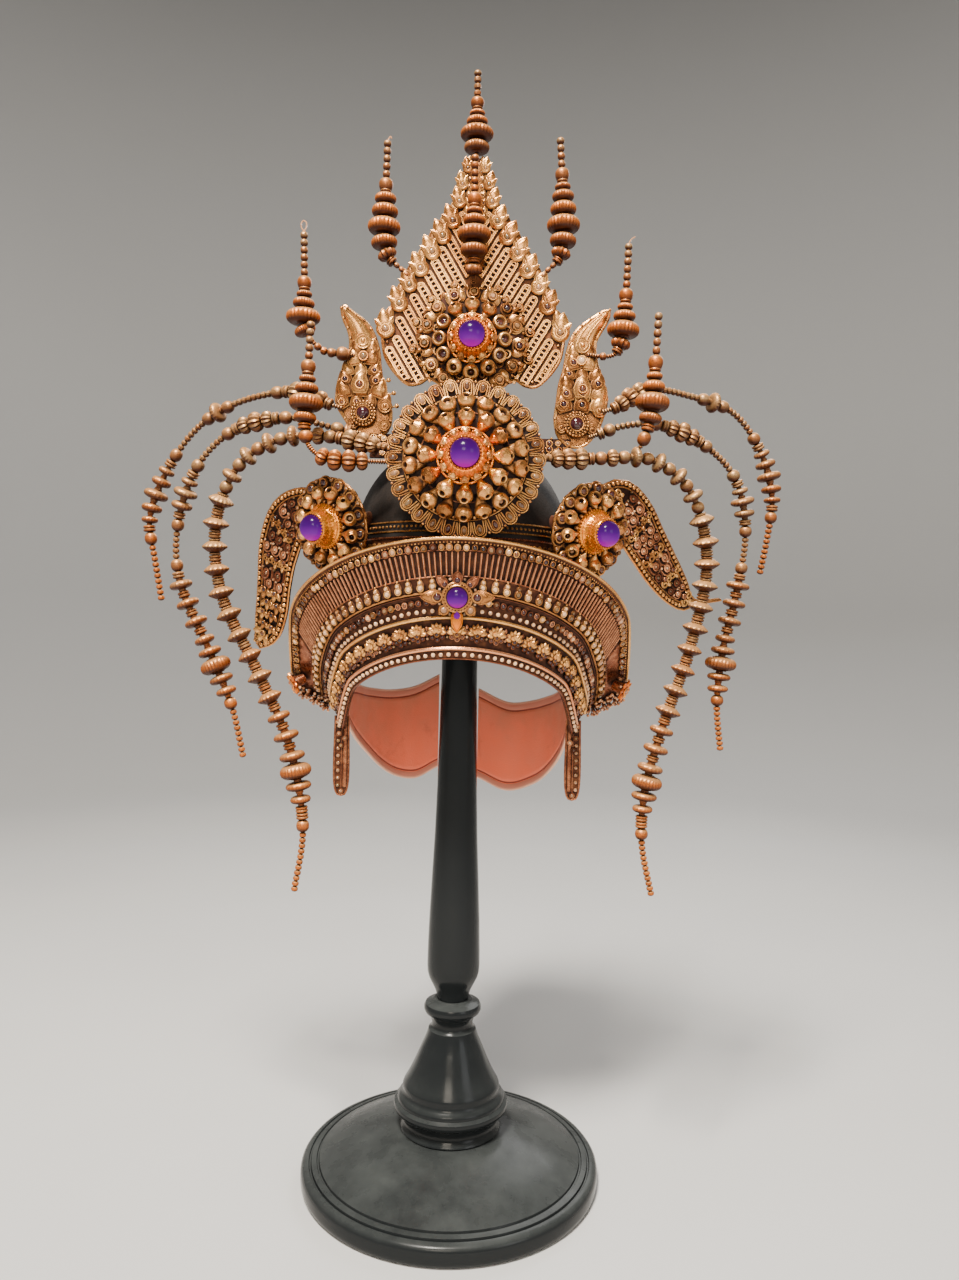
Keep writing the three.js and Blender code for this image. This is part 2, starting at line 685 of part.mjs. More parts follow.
// An outline with a given half width along a bent middle line.
function ribbonOutline(rows) {
  const middle = rows.map(([x, y]) => new THREE.Vector2(x, y));
  const left = [];
  const right = [];
  rows.forEach(([, , half], i) => {
    const before = middle[Math.max(0, i - 1)];
    const after = middle[Math.min(rows.length - 1, i + 1)];
    const along = after.clone().sub(before).normalize();
    const across = new THREE.Vector2(-along.y, along.x).multiplyScalar(half);
    left.push(middle[i].clone().add(across));
    right.push(middle[i].clone().sub(across));
  });
  return [...left, ...right.reverse()];
}

// The ear band, with the round pad behind its medallion and the boss that meets the hoop.
function wing(rows, side, matrix, ...rooms) {
  const outline = ribbonOutline(rows).map((point) => new THREE.Vector2(side * point.x, point.y));
  const shape = new THREE.Shape(outline);
  const plate = new THREE.ExtrudeGeometry(shape, { depth: WING.thickness, bevelEnabled: false });
  plate.translate(0, 0, -WING.thickness - GAP);
  const pad = post(WING.discRadius, -WING.thickness - GAP, -GAP);
  const boss = post(POSTS.radius, -POSTS.wing, -GAP - 1);
  boss.translate(-side * POSTS.wingInset, 0, 0);
  const local = toSolid(plate).add(toSolid(pad)).add(toSolid(boss));
  return cutBack(local, matrix, rooms);
}

// ---------------------------------------------------------------- beads along a route
function smoothRoute(points) {
  const places = points.map((point) => new THREE.Vector3(...point));
  const curve = new THREE.CatmullRomCurve3(places, false, "centripetal");
  curve.arcLengthDivisions = 500;
  return curve;
}

// Bead by bead along the thread: kind, start and end, stretched evenly to the length there is.
function layOut(pattern, start, end) {
  const list = pattern.flatMap(([kind, count]) => Array(count).fill(kind));
  const natural = list.reduce((sum, kind) => sum + BEADS[kind][1], 0);
  const stretch = (end - start) / natural;
  let from = start;
  return list.map((kind) => {
    const bead = { kind, from, to: from + BEADS[kind][1] * stretch, radius: BEADS[kind][0] };
    from = bead.to;
    return bead;
  });
}

// Rows of a turned body for a run of beads: length along the thread, radius.
function beadRows(beads) {
  const rows = [];
  for (const { kind, from, to, radius } of beads) {
    const width = to - from;
    rows.push([from, THREAD_RADIUS]);
    if (SHARP_BEADS.includes(kind)) {
      rows.push([from + width * 0.5, radius]);
    } else if (!SMALL_BEADS.includes(kind)) {
      rows.push([from + width * 0.25, radius], [from + width * 0.75, radius]);
    }
    rows.push([to, THREAD_RADIUS]);
  }
  return rows.filter(([length, radius], i) => {
    const [lastLength] = rows[i - 1] ?? [-1];
    const flat = rows[i - 1] && rows[i + 1] && rows[i - 1][1] === radius && rows[i + 1][1] === radius;
    return length - lastLength > 1e-6 && !flat;
  });
}

// The turned body of a run of beads, bent along its route.
function strung(curve, rows, sides) {
  const length = curve.getLength();
  const steps = Math.ceil(length / 2);
  const frames = curve.computeFrenetFrames(steps);
  const first = rows[0][0];
  const last = rows.at(-1)[0];
  const profile = [[0, first], ...rows.map(([s, r]) => [r, s]), [0, last]];
  const straight = new THREE.LatheGeometry(profile.map(([r, s]) => new THREE.Vector2(r, s)), sides);
  return reshape(straight, ({ x, y, z }) => {
    const share = THREE.MathUtils.clamp(y / length, 0, 1);
    const step = Math.round(share * steps);
    const point = curve.getPointAt(share);
    return point.addScaledVector(frames.normals[step], x).addScaledVector(frames.binormals[step], -z);
  });
}

function stringStretches({ name, beads, route }) {
  const curve = smoothRoute(route);
  const laid = layOut(beads, 0, curve.getLength());
  const share = curve.getLength() / STRETCHES;
  const pieces = [];
  for (let piece = 0; piece < STRETCHES; piece += 1) {
    const run = laid.filter(({ from, to }) => Math.floor((from + to) / 2 / share) === piece);
    const rows = beadRows(run);
    rows[0][0] += piece > 0 ? GAP / 2 : 0;
    rows.at(-1)[0] -= piece < STRETCHES - 1 ? GAP / 2 : 0;
    pieces.push([`${name}_${piece + 1}`, strung(curve, rows, STRING_SIDES)]);
  }
  return pieces;
}

function spire({ beads, stem, route }) {
  const curve = smoothRoute(route);
  const wire = stem > 0 ? [[0, 1.2]] : [];
  const rows = [...wire, ...beadRows(layOut(beads, stem, curve.getLength()))];
  return strung(curve, rows, SPIRE_SIDES);
}

// ---------------------------------------------------------------- assembly
const group = new THREE.Group();

function add(name, geometry, material, matrix = new THREE.Matrix4()) {
  const mesh = new THREE.Mesh(geometry, material);
  mesh.name = name;
  mesh.applyMatrix4(matrix);
  group.add(mesh);
}

const room = capAndHoopRoom();

add("stand_base", turned(BASE_ROWS, 32), LACQUER);
add("stand_foot", turned(FOOT_ROWS, 16), LACQUER);
const poleTop = CAP_TOP - CAP.wall - POLE_TOP.drop;
const poleRows = [[0, POLE_ROWS[0][1]], ...POLE_ROWS, [POLE_TOP.radius, poleTop], [0, poleTop]];
add("stand_pole", turned(poleRows, 16), LACQUER);

add("cap_shell", capShell(), DARK_BRONZE);
add("cap_hoop", hoop(), COPPER_GOLD);
add("diadem_band", toGeometry(diadem(room)), COPPER_GOLD);
add("strap_left", strap(STRAP_ROWS_LEFT, -1), LEATHER);
add("strap_right", strap(STRAP_ROWS_RIGHT, 1), LEATHER);

const starPlace = facing({ x: 0, y: bandPoint(0, 35, 2.4).y - GAP, z: 402, yaw: 0, tilt: 10 });
add("front_star", petalTier(TIERS.star), ANTIQUE_GOLD, starPlace);
add("front_star_gem", gem(GEMS.star, seatOn(TIERS.star)), VIOLET, starPlace);

const centrePlace = facing(CENTRE);
const middleBack = seatOn(TIERS.centreOuter);
const innerBack = seatOn(TIERS.centreMiddle, middleBack);
const centreCupBack = seatOn(TIERS.centreInner, innerBack);
const centreGemBack = centreCupBack + CUPS.centre.height + GAP;
const centreOuter = seatedTier(TIERS.centreOuter, centrePlace, POSTS.centre, room);
add("centre_outer_tier", centreOuter, ANTIQUE_GOLD, centrePlace);
add("centre_middle_tier", petalTier(TIERS.centreMiddle, middleBack), ANTIQUE_GOLD, centrePlace);
add("centre_inner_tier", petalTier(TIERS.centreInner, innerBack), ANTIQUE_GOLD, centrePlace);
add("centre_cup", cup(CUPS.centre, centreCupBack), BRIGHT_GOLD, centrePlace);
add("centre_gem", gem(GEMS.centre, centreGemBack), VIOLET, centrePlace);

const upperPlace = facing(UPPER);
const upperPost = PANEL.back - PANEL.thickness - GAP - UPPER.y;
const upperInnerBack = seatOn(TIERS.upperOuter);
const upperCupBack = seatOn(TIERS.upperInner, upperInnerBack);
const upperGemBack = upperCupBack + CUPS.upper.height + GAP;
const upperOuter = seatedTier(TIERS.upperOuter, upperPlace, upperPost);
add("upper_outer_tier", upperOuter, ANTIQUE_GOLD, upperPlace);
add("upper_inner_tier", petalTier(TIERS.upperInner, upperInnerBack), ANTIQUE_GOLD, upperPlace);
add("upper_cup", cup(CUPS.upper, upperCupBack), BRIGHT_GOLD, upperPlace);
add("upper_gem", gem(GEMS.upper, upperGemBack), VIOLET, upperPlace);

const bandRoom = bandSolid(GAP * 1.5);
const sideCupBack = seatOn(TIERS.side);
const sideGemBack = sideCupBack + CUPS.side.height + GAP;
for (const [word, side, rows] of [["left", -1, WING_LEFT], ["right", 1, WING_RIGHT]]) {
  const place = facing(SIDE, side);
  add(`wing_${word}`, wing(rows, side, place, room, bandRoom), ANTIQUE_GOLD, place);
  add(`side_tier_${word}`, petalTier(TIERS.side), ANTIQUE_GOLD, place);
  add(`side_cup_${word}`, cup(CUPS.side, sideCupBack), BRIGHT_GOLD, place);
  add(`side_gem_${word}`, gem(GEMS.side, sideGemBack), VIOLET, place);
  const floretPlace = facing(FLORET, side);
  const floret = seatedTier(TIERS.floret, floretPlace, POSTS.floret, bandRoom);
  add(`side_floret_${word}`, floret, ANTIQUE_GOLD, floretPlace);
}

add("panel", toGeometry(panel(room)), ANTIQUE_GOLD);
add("flame_left", toGeometry(flame(FLAME_LEFT, FLAME_ARMS[0], room)), ANTIQUE_GOLD);
add("flame_right", toGeometry(flame(FLAME_RIGHT, FLAME_ARMS[1], room)), ANTIQUE_GOLD);
ROSETTES.forEach(({ x, z }, i) => {
  const place = facing({ x, y: FLAME.back - FLAME.thickness - GAP, z, yaw: 0, tilt: 0 });
  add(`flame_rosette_${["left", "right"][i]}`, petalTier(TIERS.rosette), ANTIQUE_GOLD, place);
});

SPIRES.forEach((row) => add(row.name, spire(row), BEAD_GOLD));
STRINGS.flatMap(stringStretches).forEach(([name, geometry]) => add(name, geometry, BEAD_GOLD));

export default group;
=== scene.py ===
"""Looks of an apsara crown on its turned stand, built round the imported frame.

Shapes are worked out in millimetres in the frame's axes and scaled to metres when a piece is made.
"""
import math
from dataclasses import dataclass, replace

import bpy
import numpy as np
from mathutils import Matrix


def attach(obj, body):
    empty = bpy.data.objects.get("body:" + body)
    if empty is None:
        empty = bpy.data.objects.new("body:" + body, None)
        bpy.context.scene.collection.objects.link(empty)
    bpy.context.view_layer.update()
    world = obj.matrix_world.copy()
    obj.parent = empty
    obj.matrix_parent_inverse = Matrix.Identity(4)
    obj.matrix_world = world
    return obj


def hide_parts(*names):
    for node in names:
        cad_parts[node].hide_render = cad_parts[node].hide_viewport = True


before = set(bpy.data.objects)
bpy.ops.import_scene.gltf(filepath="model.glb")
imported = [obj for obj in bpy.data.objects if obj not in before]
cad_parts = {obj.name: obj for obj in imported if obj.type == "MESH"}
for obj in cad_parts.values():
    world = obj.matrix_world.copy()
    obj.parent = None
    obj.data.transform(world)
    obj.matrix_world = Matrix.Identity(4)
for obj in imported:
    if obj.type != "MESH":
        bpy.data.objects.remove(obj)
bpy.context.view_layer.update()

MM = 0.001
TURN = 2 * math.pi
SEED = 7

# material numbers of the faces
GOLD, COPPER, BRIGHT, DARK, PALE, VIOLET, BRONZE, BEAD, LACQUER, LEATHER, SHADE_GROUND = range(11)
SIDE = {"left": -1, "right": 1}


# ---------------------------------------------------------------- places
def at(x=0.0, y=0.0, z=0.0, turn=0.0, tilt=0.0, size=1.0):
    """A matrix: size, then tilt about X, then turn about Z, in degrees, then the place."""
    a, b = math.radians(turn), math.radians(tilt)
    spin = np.array([[math.cos(a), -math.sin(a), 0], [math.sin(a), math.cos(a), 0], [0, 0, 1]])
    lean = np.array([[1, 0, 0], [0, math.cos(b), -math.sin(b)], [0, math.sin(b), math.cos(b)]])
    matrix = np.eye(4)
    matrix[:3, :3] = spin @ lean @ np.diag(np.broadcast_to(size, 3))
    matrix[:3, 3] = (x, y, z)
    return matrix


def axes(place, x, y, z, size=(1, 1, 1)):
    matrix = np.eye(4)
    matrix[:3, :3] = np.column_stack([x, y, z]) * size
    matrix[:3, 3] = place
    return matrix


def unit(vector):
    return np.asarray(vector, dtype=float) / np.linalg.norm(vector)


def facing(place, yaw=0.0, tilt=0.0, side=1):
    """Local Z looks outwards from the crown and local Y up; side is -1 on the left."""
    a, b = math.radians(yaw), math.radians(tilt)
    z = np.array([side * math.sin(a) * math.cos(b), -math.cos(a) * math.cos(b), -math.sin(b)])
    x = unit(np.cross((0, 0, 1), z))
    return axes((side * place[0], place[1], place[2]), x, np.cross(z, x), z)


def front_of(x, y):
    """Local X right, local Y up and local Z towards the viewer."""
    return axes((x, y, 0), (1, 0, 0), (0, 0, 1), (0, -1, 0))


def around(count, radius, height=0.0, tilt=0.0, start=0.0):
    """Places round a circle with local Y away from the middle; start is in degrees from the top."""
    return [at(turn=start + 360 * k / count) @ at(0, radius, height, tilt=tilt) for k in range(count)]


def lengths_along(line):
    """The distance of each point from the first."""
    return np.concatenate([[0], np.cumsum(np.linalg.norm(np.diff(line, axis=0), axis=1))])


def between(value, at_values, rows):
    """A point, or points, read off rows of coordinates."""
    return np.stack([np.interp(value, at_values, column) for column in rows.T], axis=-1)


def smooth_path(points, steps, closed=False):
    """Even points on a centripetal Catmull-Rom curve, as the strings' wires follow, and its length."""
    points = np.asarray(points, dtype=float)
    before = points[-1:] if closed else 2 * points[:1] - points[1:2]
    after = points[:2] if closed else 2 * points[-1:] - points[-2:-1]
    row = np.concatenate([before, points, after])
    t = (np.arange(24) / 24)[:, None]
    fine = []
    for p0, p1, p2, p3 in zip(row, row[1:], row[2:], row[3:]):
        d0, d1, d2 = (max(np.linalg.norm(b - a) ** 0.5, 1e-4) for a, b in ((p0, p1), (p1, p2), (p2, p3)))
        m1 = ((p1 - p0) / d0 - (p2 - p0) / (d0 + d1) + (p2 - p1) / d1) * d1
        m2 = ((p2 - p1) / d1 - (p3 - p1) / (d1 + d2) + (p3 - p2) / d2) * d1
        fine.append((2 * t**3 - 3 * t**2 + 1) * p1 + (t**3 - 2 * t**2 + t) * m1
                    + (3 * t**2 - 2 * t**3) * p2 + (t**3 - t**2) * m2)
    fine = np.concatenate([*fine, points[:1] if closed else points[-1:]])
    lengths = lengths_along(fine)
    path = between(np.linspace(0, lengths[-1], steps + 1), lengths, fine)
    return (path[:-1] if closed else path), lengths[-1]


# ---------------------------------------------------------------- shapes made of points and faces
@dataclass
class Shape:
    """A small mesh: corner numbers run face after face; faces have slots and points have tones."""

    points: np.ndarray
    corners: np.ndarray
    sizes: np.ndarray
    slots: np.ndarray
    tones: np.ndarray

    def moved(self, matrix):
        corners = self.corners
        if np.linalg.det(matrix[:3, :3]) < 0:
            stops = np.cumsum(self.sizes)
            faces = [corners[stop - size:stop][::-1] for stop, size in zip(stops, self.sizes)]
            corners = np.concatenate(faces)
        return replace(self, points=self.points @ matrix[:3, :3].T + matrix[:3, 3], corners=corners)

    def at(self, *place, **turned):
        return self.moved(at(*place, **turned))

    def toned(self, tone):
        return replace(self, tones=np.full(len(self.points), float(tone)))

    def brighter(self, shift):
        return replace(self, tones=np.clip(self.tones + shift, 0, 1))


def shape(points, faces, slot):
    sizes = np.array([len(face) for face in faces], dtype=np.int32)
    corners = np.concatenate([np.asarray(face, dtype=np.int32) for face in faces])
    points = np.asarray(points, dtype=float)
    return Shape(points, corners, sizes, np.full(len(sizes), slot), np.full(len(points), 0.5))


def joined(*shapes):
    starts = np.cumsum([0] + [len(part.points) for part in shapes[:-1]])
    fields = {"corners": [part.corners + start for part, start in zip(shapes, starts)]}
    for key in ("points", "sizes", "slots", "tones"):
        fields[key] = [getattr(part, key) for part in shapes]
    return Shape(**{key: np.concatenate(values) for key, values in fields.items()})


def quads(count, loops, closed=False):
    """Faces between neighbouring loops of count points each."""
    faces = []
    for k in range(loops if closed else loops - 1):
        low, high = k * count, (k + 1) % loops * count
        faces += [[low + i, low + (i + 1) % count, high + (i + 1) % count, high + i] for i in range(count)]
    return faces


def skin(loops, slot, closed=False, inward=False):
    """A skin over loops of equally many points, with a flat face at each end unless it closes."""
    count, last = len(loops[0]), len(loops) - 1
    faces = quads(count, last + 1, closed)
    if not closed:
        faces += [list(range(count))[::-1], list(range(last * count, (last + 1) * count))]
    return shape(np.concatenate(loops), [face[::-1] for face in faces] if inward else faces, slot)


def raised(outline, height):
    """A flat outline at a height."""
    return np.column_stack([outline, np.full(len(outline), height)])


def lathe(rows, segments, slot=GOLD, flutes=0, depth=0.0):
    """A turned body about Z from rows of radius and height, with grooves along it if asked."""
    rows = np.asarray(rows, dtype=float)
    following = np.roll(rows, -1, axis=0)
    if np.sum(rows[:, 0] * following[:, 1] - following[:, 0] * rows[:, 1]) < 0:
        rows = rows[::-1]
    turn = np.arange(segments) * TURN / segments
    wave = 1 - depth * (0.5 - 0.5 * np.cos(flutes * turn))
    points, rings = [], []
    for radius, height in rows:
        start = len(points)
        if radius == 0:
            points.append((0, 0, height))
            rings.append([start] * segments)
        else:
            reach = radius * wave
            points += zip(reach * np.cos(turn), reach * np.sin(turn), [height] * segments)
            rings.append(list(range(start, start + segments)))
    if rows[0, 0] > 0 and np.allclose(rows[0], rows[-1]):
        rings[-1] = rings[0]
        points = points[:-segments]
    faces = []
    for low, high in zip(rings, rings[1:]):
        for i in range(segments):
            j = (i + 1) % segments
            face = [low[i], low[j], high[j], high[i]]
            if low[i] == low[j]:
                face.pop(1)
            elif high[i] == high[j]:
                face.pop()
            faces.append(face)
    return shape(points, faces, slot)


def arc(radius, height, start, stop, steps, base=0.0, inner=0.0):
    """Rows of an elliptic arc between two angles in degrees, measured up from the rim."""
    angles = np.radians(np.linspace(start, stop, steps + 1))
    return [(inner + (radius - inner) * max(0.0, math.cos(a)), base + height * math.sin(a)) for a in angles]


def ball(radius, segments=10, steps=5, slot=GOLD):
    return lathe([(0, -radius), *arc(radius, radius, -90, 90, steps)[1:-1], (0, radius)], segments, slot)


def dome(radius, height, segments=12, steps=3, base=0.0, slot=GOLD):
    rows = arc(radius, height, 0, 90, steps, base)[:-1]
    return lathe([(0, base), *rows, (0, base + height)], segments, slot)


def rod(radius, low, high, segments=32, slot=COPPER):
    return lathe([(0, low), (radius, low), (radius, high), (0, high)], segments, slot)


def tube(path, radius, sides=7, slot=GOLD, closed=False):
    """A round wire along a path; the radius may differ from point to point."""
    path = np.asarray(path, dtype=float)
    if closed:
        tangents = np.roll(path, -1, axis=0) - np.roll(path, 1, axis=0)
    else:
        tangents = np.gradient(path, axis=0)
    tangents = tangents / np.linalg.norm(tangents, axis=1)[:, None]
    normal = np.cross((0, 0, 1) if abs(tangents[0][2]) < 0.9 else (1, 0, 0), tangents[0])
    angles = np.arange(sides) * TURN / sides
    loops = []
    for centre, tangent, size in zip(path, tangents, np.broadcast_to(radius, len(path))):
        normal = unit(normal - tangent * np.dot(normal, tangent))
        side = np.cross(tangent, normal)
        loops.append(centre + size * (np.outer(np.cos(angles), normal) + np.outer(np.sin(angles), side)))
    return skin(loops, slot, closed)


def circle(radius, steps, height=0.0):
    angles = np.arange(steps) * TURN / steps
    return raised(np.column_stack([radius * np.cos(angles), radius * np.sin(angles)]), height)


def ring(radius, wire, steps=24, sides=6, height=0.0, slot=GOLD):
    return tube(circle(radius, steps, height), wire, sides, slot, closed=True)


def outline_wire(outline, wire, height=0.0, sides=5, slot=GOLD):
    return tube(raised(outline, height), wire, sides, slot, closed=True)


def cushion(outline, height, steps, centre, wall=0.0, slot=GOLD):
    """A domed form over an outline that its centre can see: a wall, then a rounded top."""
    outline, centre = np.asarray(outline, dtype=float), np.asarray(centre, dtype=float)
    angles = [math.radians(90 * step / steps) for step in range(1, steps)]
    layers = [(1, 0), *([(1, wall)] if wall else [])]
    layers += [(math.cos(a), wall + (height - wall) * math.sin(a)) for a in angles]
    loops = [raised(centre + (outline - centre) * share, z) for share, z in layers]
    count, top = len(outline), len(outline) * len(layers)
    faces = [list(range(count))[::-1], *quads(count, len(layers))]
    faces += [[top - count + i, top - count + (i + 1) % count, top] for i in range(count)]
    return shape(np.concatenate([*loops, [[*centre, height]]]), faces, slot)


def plate(outline, thickness, bevel=0.4, slot=SHADE_GROUND):
    """A flat plate with a bevelled front edge, for any simple outline listed anticlockwise."""
    outline = np.asarray(outline, dtype=float)
    steps = [outline - np.roll(outline, 1, axis=0), np.roll(outline, -1, axis=0) - outline]
    along = sum(step / np.linalg.norm(step, axis=1)[:, None] for step in steps)
    along = along / np.linalg.norm(along, axis=1)[:, None]
    inset = outline + np.column_stack([-along[:, 1], along[:, 0]]) * bevel
    return skin([raised(outline, 0.0), raised(outline, thickness - bevel), raised(inset, thickness)], slot)


# ---------------------------------------------------------------- materials
class Look:
    """A material in the making: its methods add nodes and return their output sockets."""

    def __init__(self, name):
        self.material = bpy.data.materials.new(name)
        self.material.use_nodes = True
        self.tree = self.material.node_tree
        self.tree.nodes.clear()
        self.shader = self.node("BsdfPrincipled")
        self.node("OutputMaterial", Surface=self.shader.outputs["BSDF"])
        self.tone = self.node("Attribute", attribute_name="tone").outputs["Fac"]
        self.place = self.node("TexCoord").outputs["Object"]

    def feed(self, socket, value):
        """A node's output, a number or a colour goes into the socket."""
        if isinstance(value, bpy.types.NodeSocket):
            self.tree.links.new(value, socket)
        else:
            socket.default_value = (*value, 1.0) if isinstance(value, tuple) else value

    def node(self, kind, **values):
        made = self.tree.nodes.new("ShaderNode" + kind)
        for key, value in values.items():
            if key in made.inputs:
                self.feed(made.inputs[key], value)
            else:
                setattr(made, key, value)
        return made

    def noise(self, scale, detail=3.0, roughness=0.5):
        values = {"Vector": self.place, "Scale": scale, "Detail": detail, "Roughness": roughness}
        return self.node("TexNoise", **values).outputs["Fac"]

    def ramp(self, value, *stops):
        """A colour ramp from (position, colour) stops."""
        made = self.node("ValToRGB", Fac=value)
        elements = made.color_ramp.elements
        while len(elements) < len(stops):
            elements.new(0.5)
        for element, (position, colour) in zip(elements, stops):
            element.position = position
            element.color = (*colour, 1.0)
        return made.outputs["Color"]

    def step(self, value, low, high, first=0.0, last=1.0):
        """Grey that goes from first to last as the value goes from low to high."""
        return self.ramp(value, (low, (first,) * 3), (high, (last,) * 3))

    def mix(self, share, low, high):
        """Colour low where share is 0 and high where it is 1."""
        made = self.node("Mix", data_type="RGBA")
        for index, value in ((0, share), (6, low), (7, high)):
            self.feed(made.inputs[index], value)
        return made.outputs[2]

    def maths(self, operation, *values):
        made = self.node("Math", operation=operation, use_clamp=True)
        for socket, value in zip(made.inputs, values):
            self.feed(socket, value)
        return made.outputs[0]

    def times(self, first, second):
        return self.maths("MULTIPLY", first, second)

    def total(self, first, share, second, other):
        """The first times its share plus the second times its own."""
        return self.maths("ADD", self.times(first, share), self.times(second, other))

    def up(self, vector=None):
        """How far a vector, or else the surface, looks up."""
        vector = vector or self.node("NewGeometry").outputs["Normal"]
        return self.node("SeparateXYZ", Vector=vector).outputs["Z"]

    def level(self, value, low, high=1.0):
        """0 where the value is low and 1 where it is high."""
        return self.node("MapRange", **{"Value": value, "From Min": low, "From Max": high}).outputs["Result"]

    def openness(self, distance):
        """0 deep in a recess and 1 on open surfaces."""
        return self.node("AmbientOcclusion", samples=6, Distance=distance).outputs["AO"]

    def bump(self, height, strength, distance):
        made = self.node("Bump", Strength=strength, Distance=distance, Height=height)
        self.finish(Normal=made.outputs["Normal"])

    def finish(self, **values):
        """Feeds the shader's sockets, named with underscores, and gives the material."""
        for key, value in values.items():
            self.feed(self.shader.inputs[key.replace("_", " ")], value)
        return self.material


def gilt(name, deep, body, light, recess, roughness, metallic=0.9, reach=0.005):
    """Aged gilding: shades by piece and by patch, with painted shade in the recesses."""
    look = Look(name)
    shade = look.total(look.tone, 0.6, look.noise(260), 0.45)
    colour = look.ramp(shade, (0.2, deep), (0.5, body), (0.78, light))
    # painted shade: where ambient occlusion finds a recess the colour goes to the recess shade, rougher and
    # less metallic
    share = look.step(look.openness(reach), 0.36, 0.9)
    worn = look.step(look.noise(900, 4), 0.35, 0.7, *roughness)
    look.bump(look.noise(2200, 5, 0.6), 0.35, 0.00025)
    return look.finish(
        Base_Color=look.mix(share, recess, colour), Roughness=look.mix(share, (0.8,) * 3, worn),
        Metallic=look.mix(share, (0.15,) * 3, (metallic,) * 3),
    )


def stone(name, *stops):
    """Small stones: each takes its colour from its own tone."""
    look = Look(name)
    colour = look.ramp(look.total(look.tone, 0.9, look.noise(300), 0.2), *stops)
    return look.finish(Base_Color=colour, Roughness=0.1, Coat_Weight=0.6, Coat_Roughness=0.05)


def violet_stone():
    """A foiled cabochon: dark at the top, with a painted glow, an emission strongest at the bottom where
    light gathers.
    """
    look = Look("violet_cabochon")
    height = look.up(look.node("TexCoord").outputs["Generated"])
    colour = look.ramp(height, (0.05, (0.04, 0.0, 0.04)), (0.3, (0.02, 0.0, 0.03)), (0.6, (0.01, 0.0, 0.016)),
                       (0.95, (0.006, 0.0, 0.01)))
    # painted glow: emission colour, strongest at the bottom of the stone
    painted_glow = look.ramp(height, (0.02, (0.62, 0.0, 0.46)), (0.25, (0.27, 0.0, 0.46)), (0.55, (0.1, 0.0, 0.26)),
                     (0.9, (0.08, 0.0, 0.16)))
    return look.finish(
        Base_Color=colour, Emission_Color=painted_glow, Emission_Strength=0.75, Roughness=0.3,
        Specular_IOR_Level=0.02,
        Coat_Weight=0.3, Coat_Roughness=0.15,
    )


def gilt_bead():
    """Turned beads under worn gilding: grey beige at tone 0, terracotta gold at tone 1; darker below, partly
    patina and partly painted shade, with painted light on the tops and painted shade in the gaps.
    """
    look = Look("turned_bead")
    patch = look.times(look.maths("SUBTRACT", look.noise(180), 0.5), 0.5)
    colour = look.ramp(look.maths("ADD", look.tone, patch), (0.0, (0.48, 0.31, 0.14)),
                       (0.35, (0.46, 0.2, 0.07)),
                       (0.7, (0.5, 0.13, 0.02)), (1.0, (0.76, 0.2, 0.025)))
    speck = look.step(look.noise(1400, 4, 0.7), 0.3, 0.5)
    height = look.level(look.up(), -1.0)
    # darker on what faces down: partly a real patina, partly painted shade
    patina_and_shade = look.ramp(height, (0.18, (0.0,) * 3), (0.4, (0.5,) * 3), (0.54, (1.0,) * 3))
    body = look.mix(patina_and_shade, (0.05, 0.01, 0.002), look.mix(speck, (0.17, 0.04, 0.01), colour))
    # painted light: what faces up is lightened towards cream
    painted_top_light = look.mix(look.step(height, 0.58, 0.85, 0.0, 0.7), body, (1.0, 0.5, 0.18))
    look.bump(look.noise(1800, 4), 0.3, 0.0002)
    return look.finish(
        # painted shade: ambient occlusion darkens the gaps between beads
        Base_Color=look.mix(look.step(look.openness(0.004), 0.3, 0.85), (0.035, 0.01, 0.004), painted_top_light),
        Roughness=look.step(look.noise(700), 0.3, 0.7, 0.32, 0.5), Metallic=0.55,
    )


def lacquer():
    """Black lacquer, grey on what faces up: partly dust, partly a painted sheen of the light from above."""
    look = Look("black_lacquer")
    patchy = look.step(look.noise(28, 6, 0.65), 0.3, 0.7, 0.25)
    # grey on upward faces in patches: real dust and a painted sheen together
    dust_and_sheen = look.times(look.times(look.step(look.up(), 0.35, 0.95), patchy), 0.38)
    look.bump(look.noise(160, 5), 0.12, 0.0004)
    return look.finish(
        Base_Color=look.mix(dust_and_sheen, (0.012, 0.014, 0.015), (0.15, 0.165, 0.16)),
        Roughness=look.total(dust_and_sheen, 0.5, look.noise(90, 5), 0.35), Specular_IOR_Level=0.16, Coat_Weight=0.03,
        Coat_Roughness=0.2,
    )


def leather():
    """Salmon leather, redder below; tone 0 is a scored line darkened with painted shade in its groove, 0.7 a
    hem and 1 a cut edge.
    """
    look = Look("salmon_leather")
    height = look.level(look.up(look.place), 0.275, 0.335)
    colour = look.ramp(look.total(height, 0.5, look.noise(38, 4, 0.6), 0.6), (0.25, (1.0, 0.16, 0.06)),
                       (0.5, (0.9, 0.18, 0.085)), (0.8, (0.66, 0.2, 0.105)))
    stain = look.times(look.step(look.noise(26, 5, 0.7), 0.28, 0.42, 1.0, 0.0), 0.35)
    colour = look.mix(stain, colour, (0.42, 0.06, 0.022))
    # the hem and the cut edge are paler leather; the scored line's dark is painted shade
    for low, high, first, last, paint in (
        (0.5, 0.66, 0.0, 1.0, (0.6, 0.19, 0.115)), (0.8, 0.98, 0.0, 1.0, (0.95, 0.5, 0.33)),
        (0.05, 0.3, 1.0, 0.0, (0.26, 0.035, 0.012)),
    ):
        colour = look.mix(look.step(look.tone, low, high, first, last), colour, paint)
    look.bump(look.node("TexVoronoi", Scale=1100.0, Vector=look.place).outputs["Distance"], 0.35, 0.0003)
    return look.finish(Base_Color=colour, Roughness=look.step(look.noise(120), 0.3, 0.7, 0.42, 0.6))


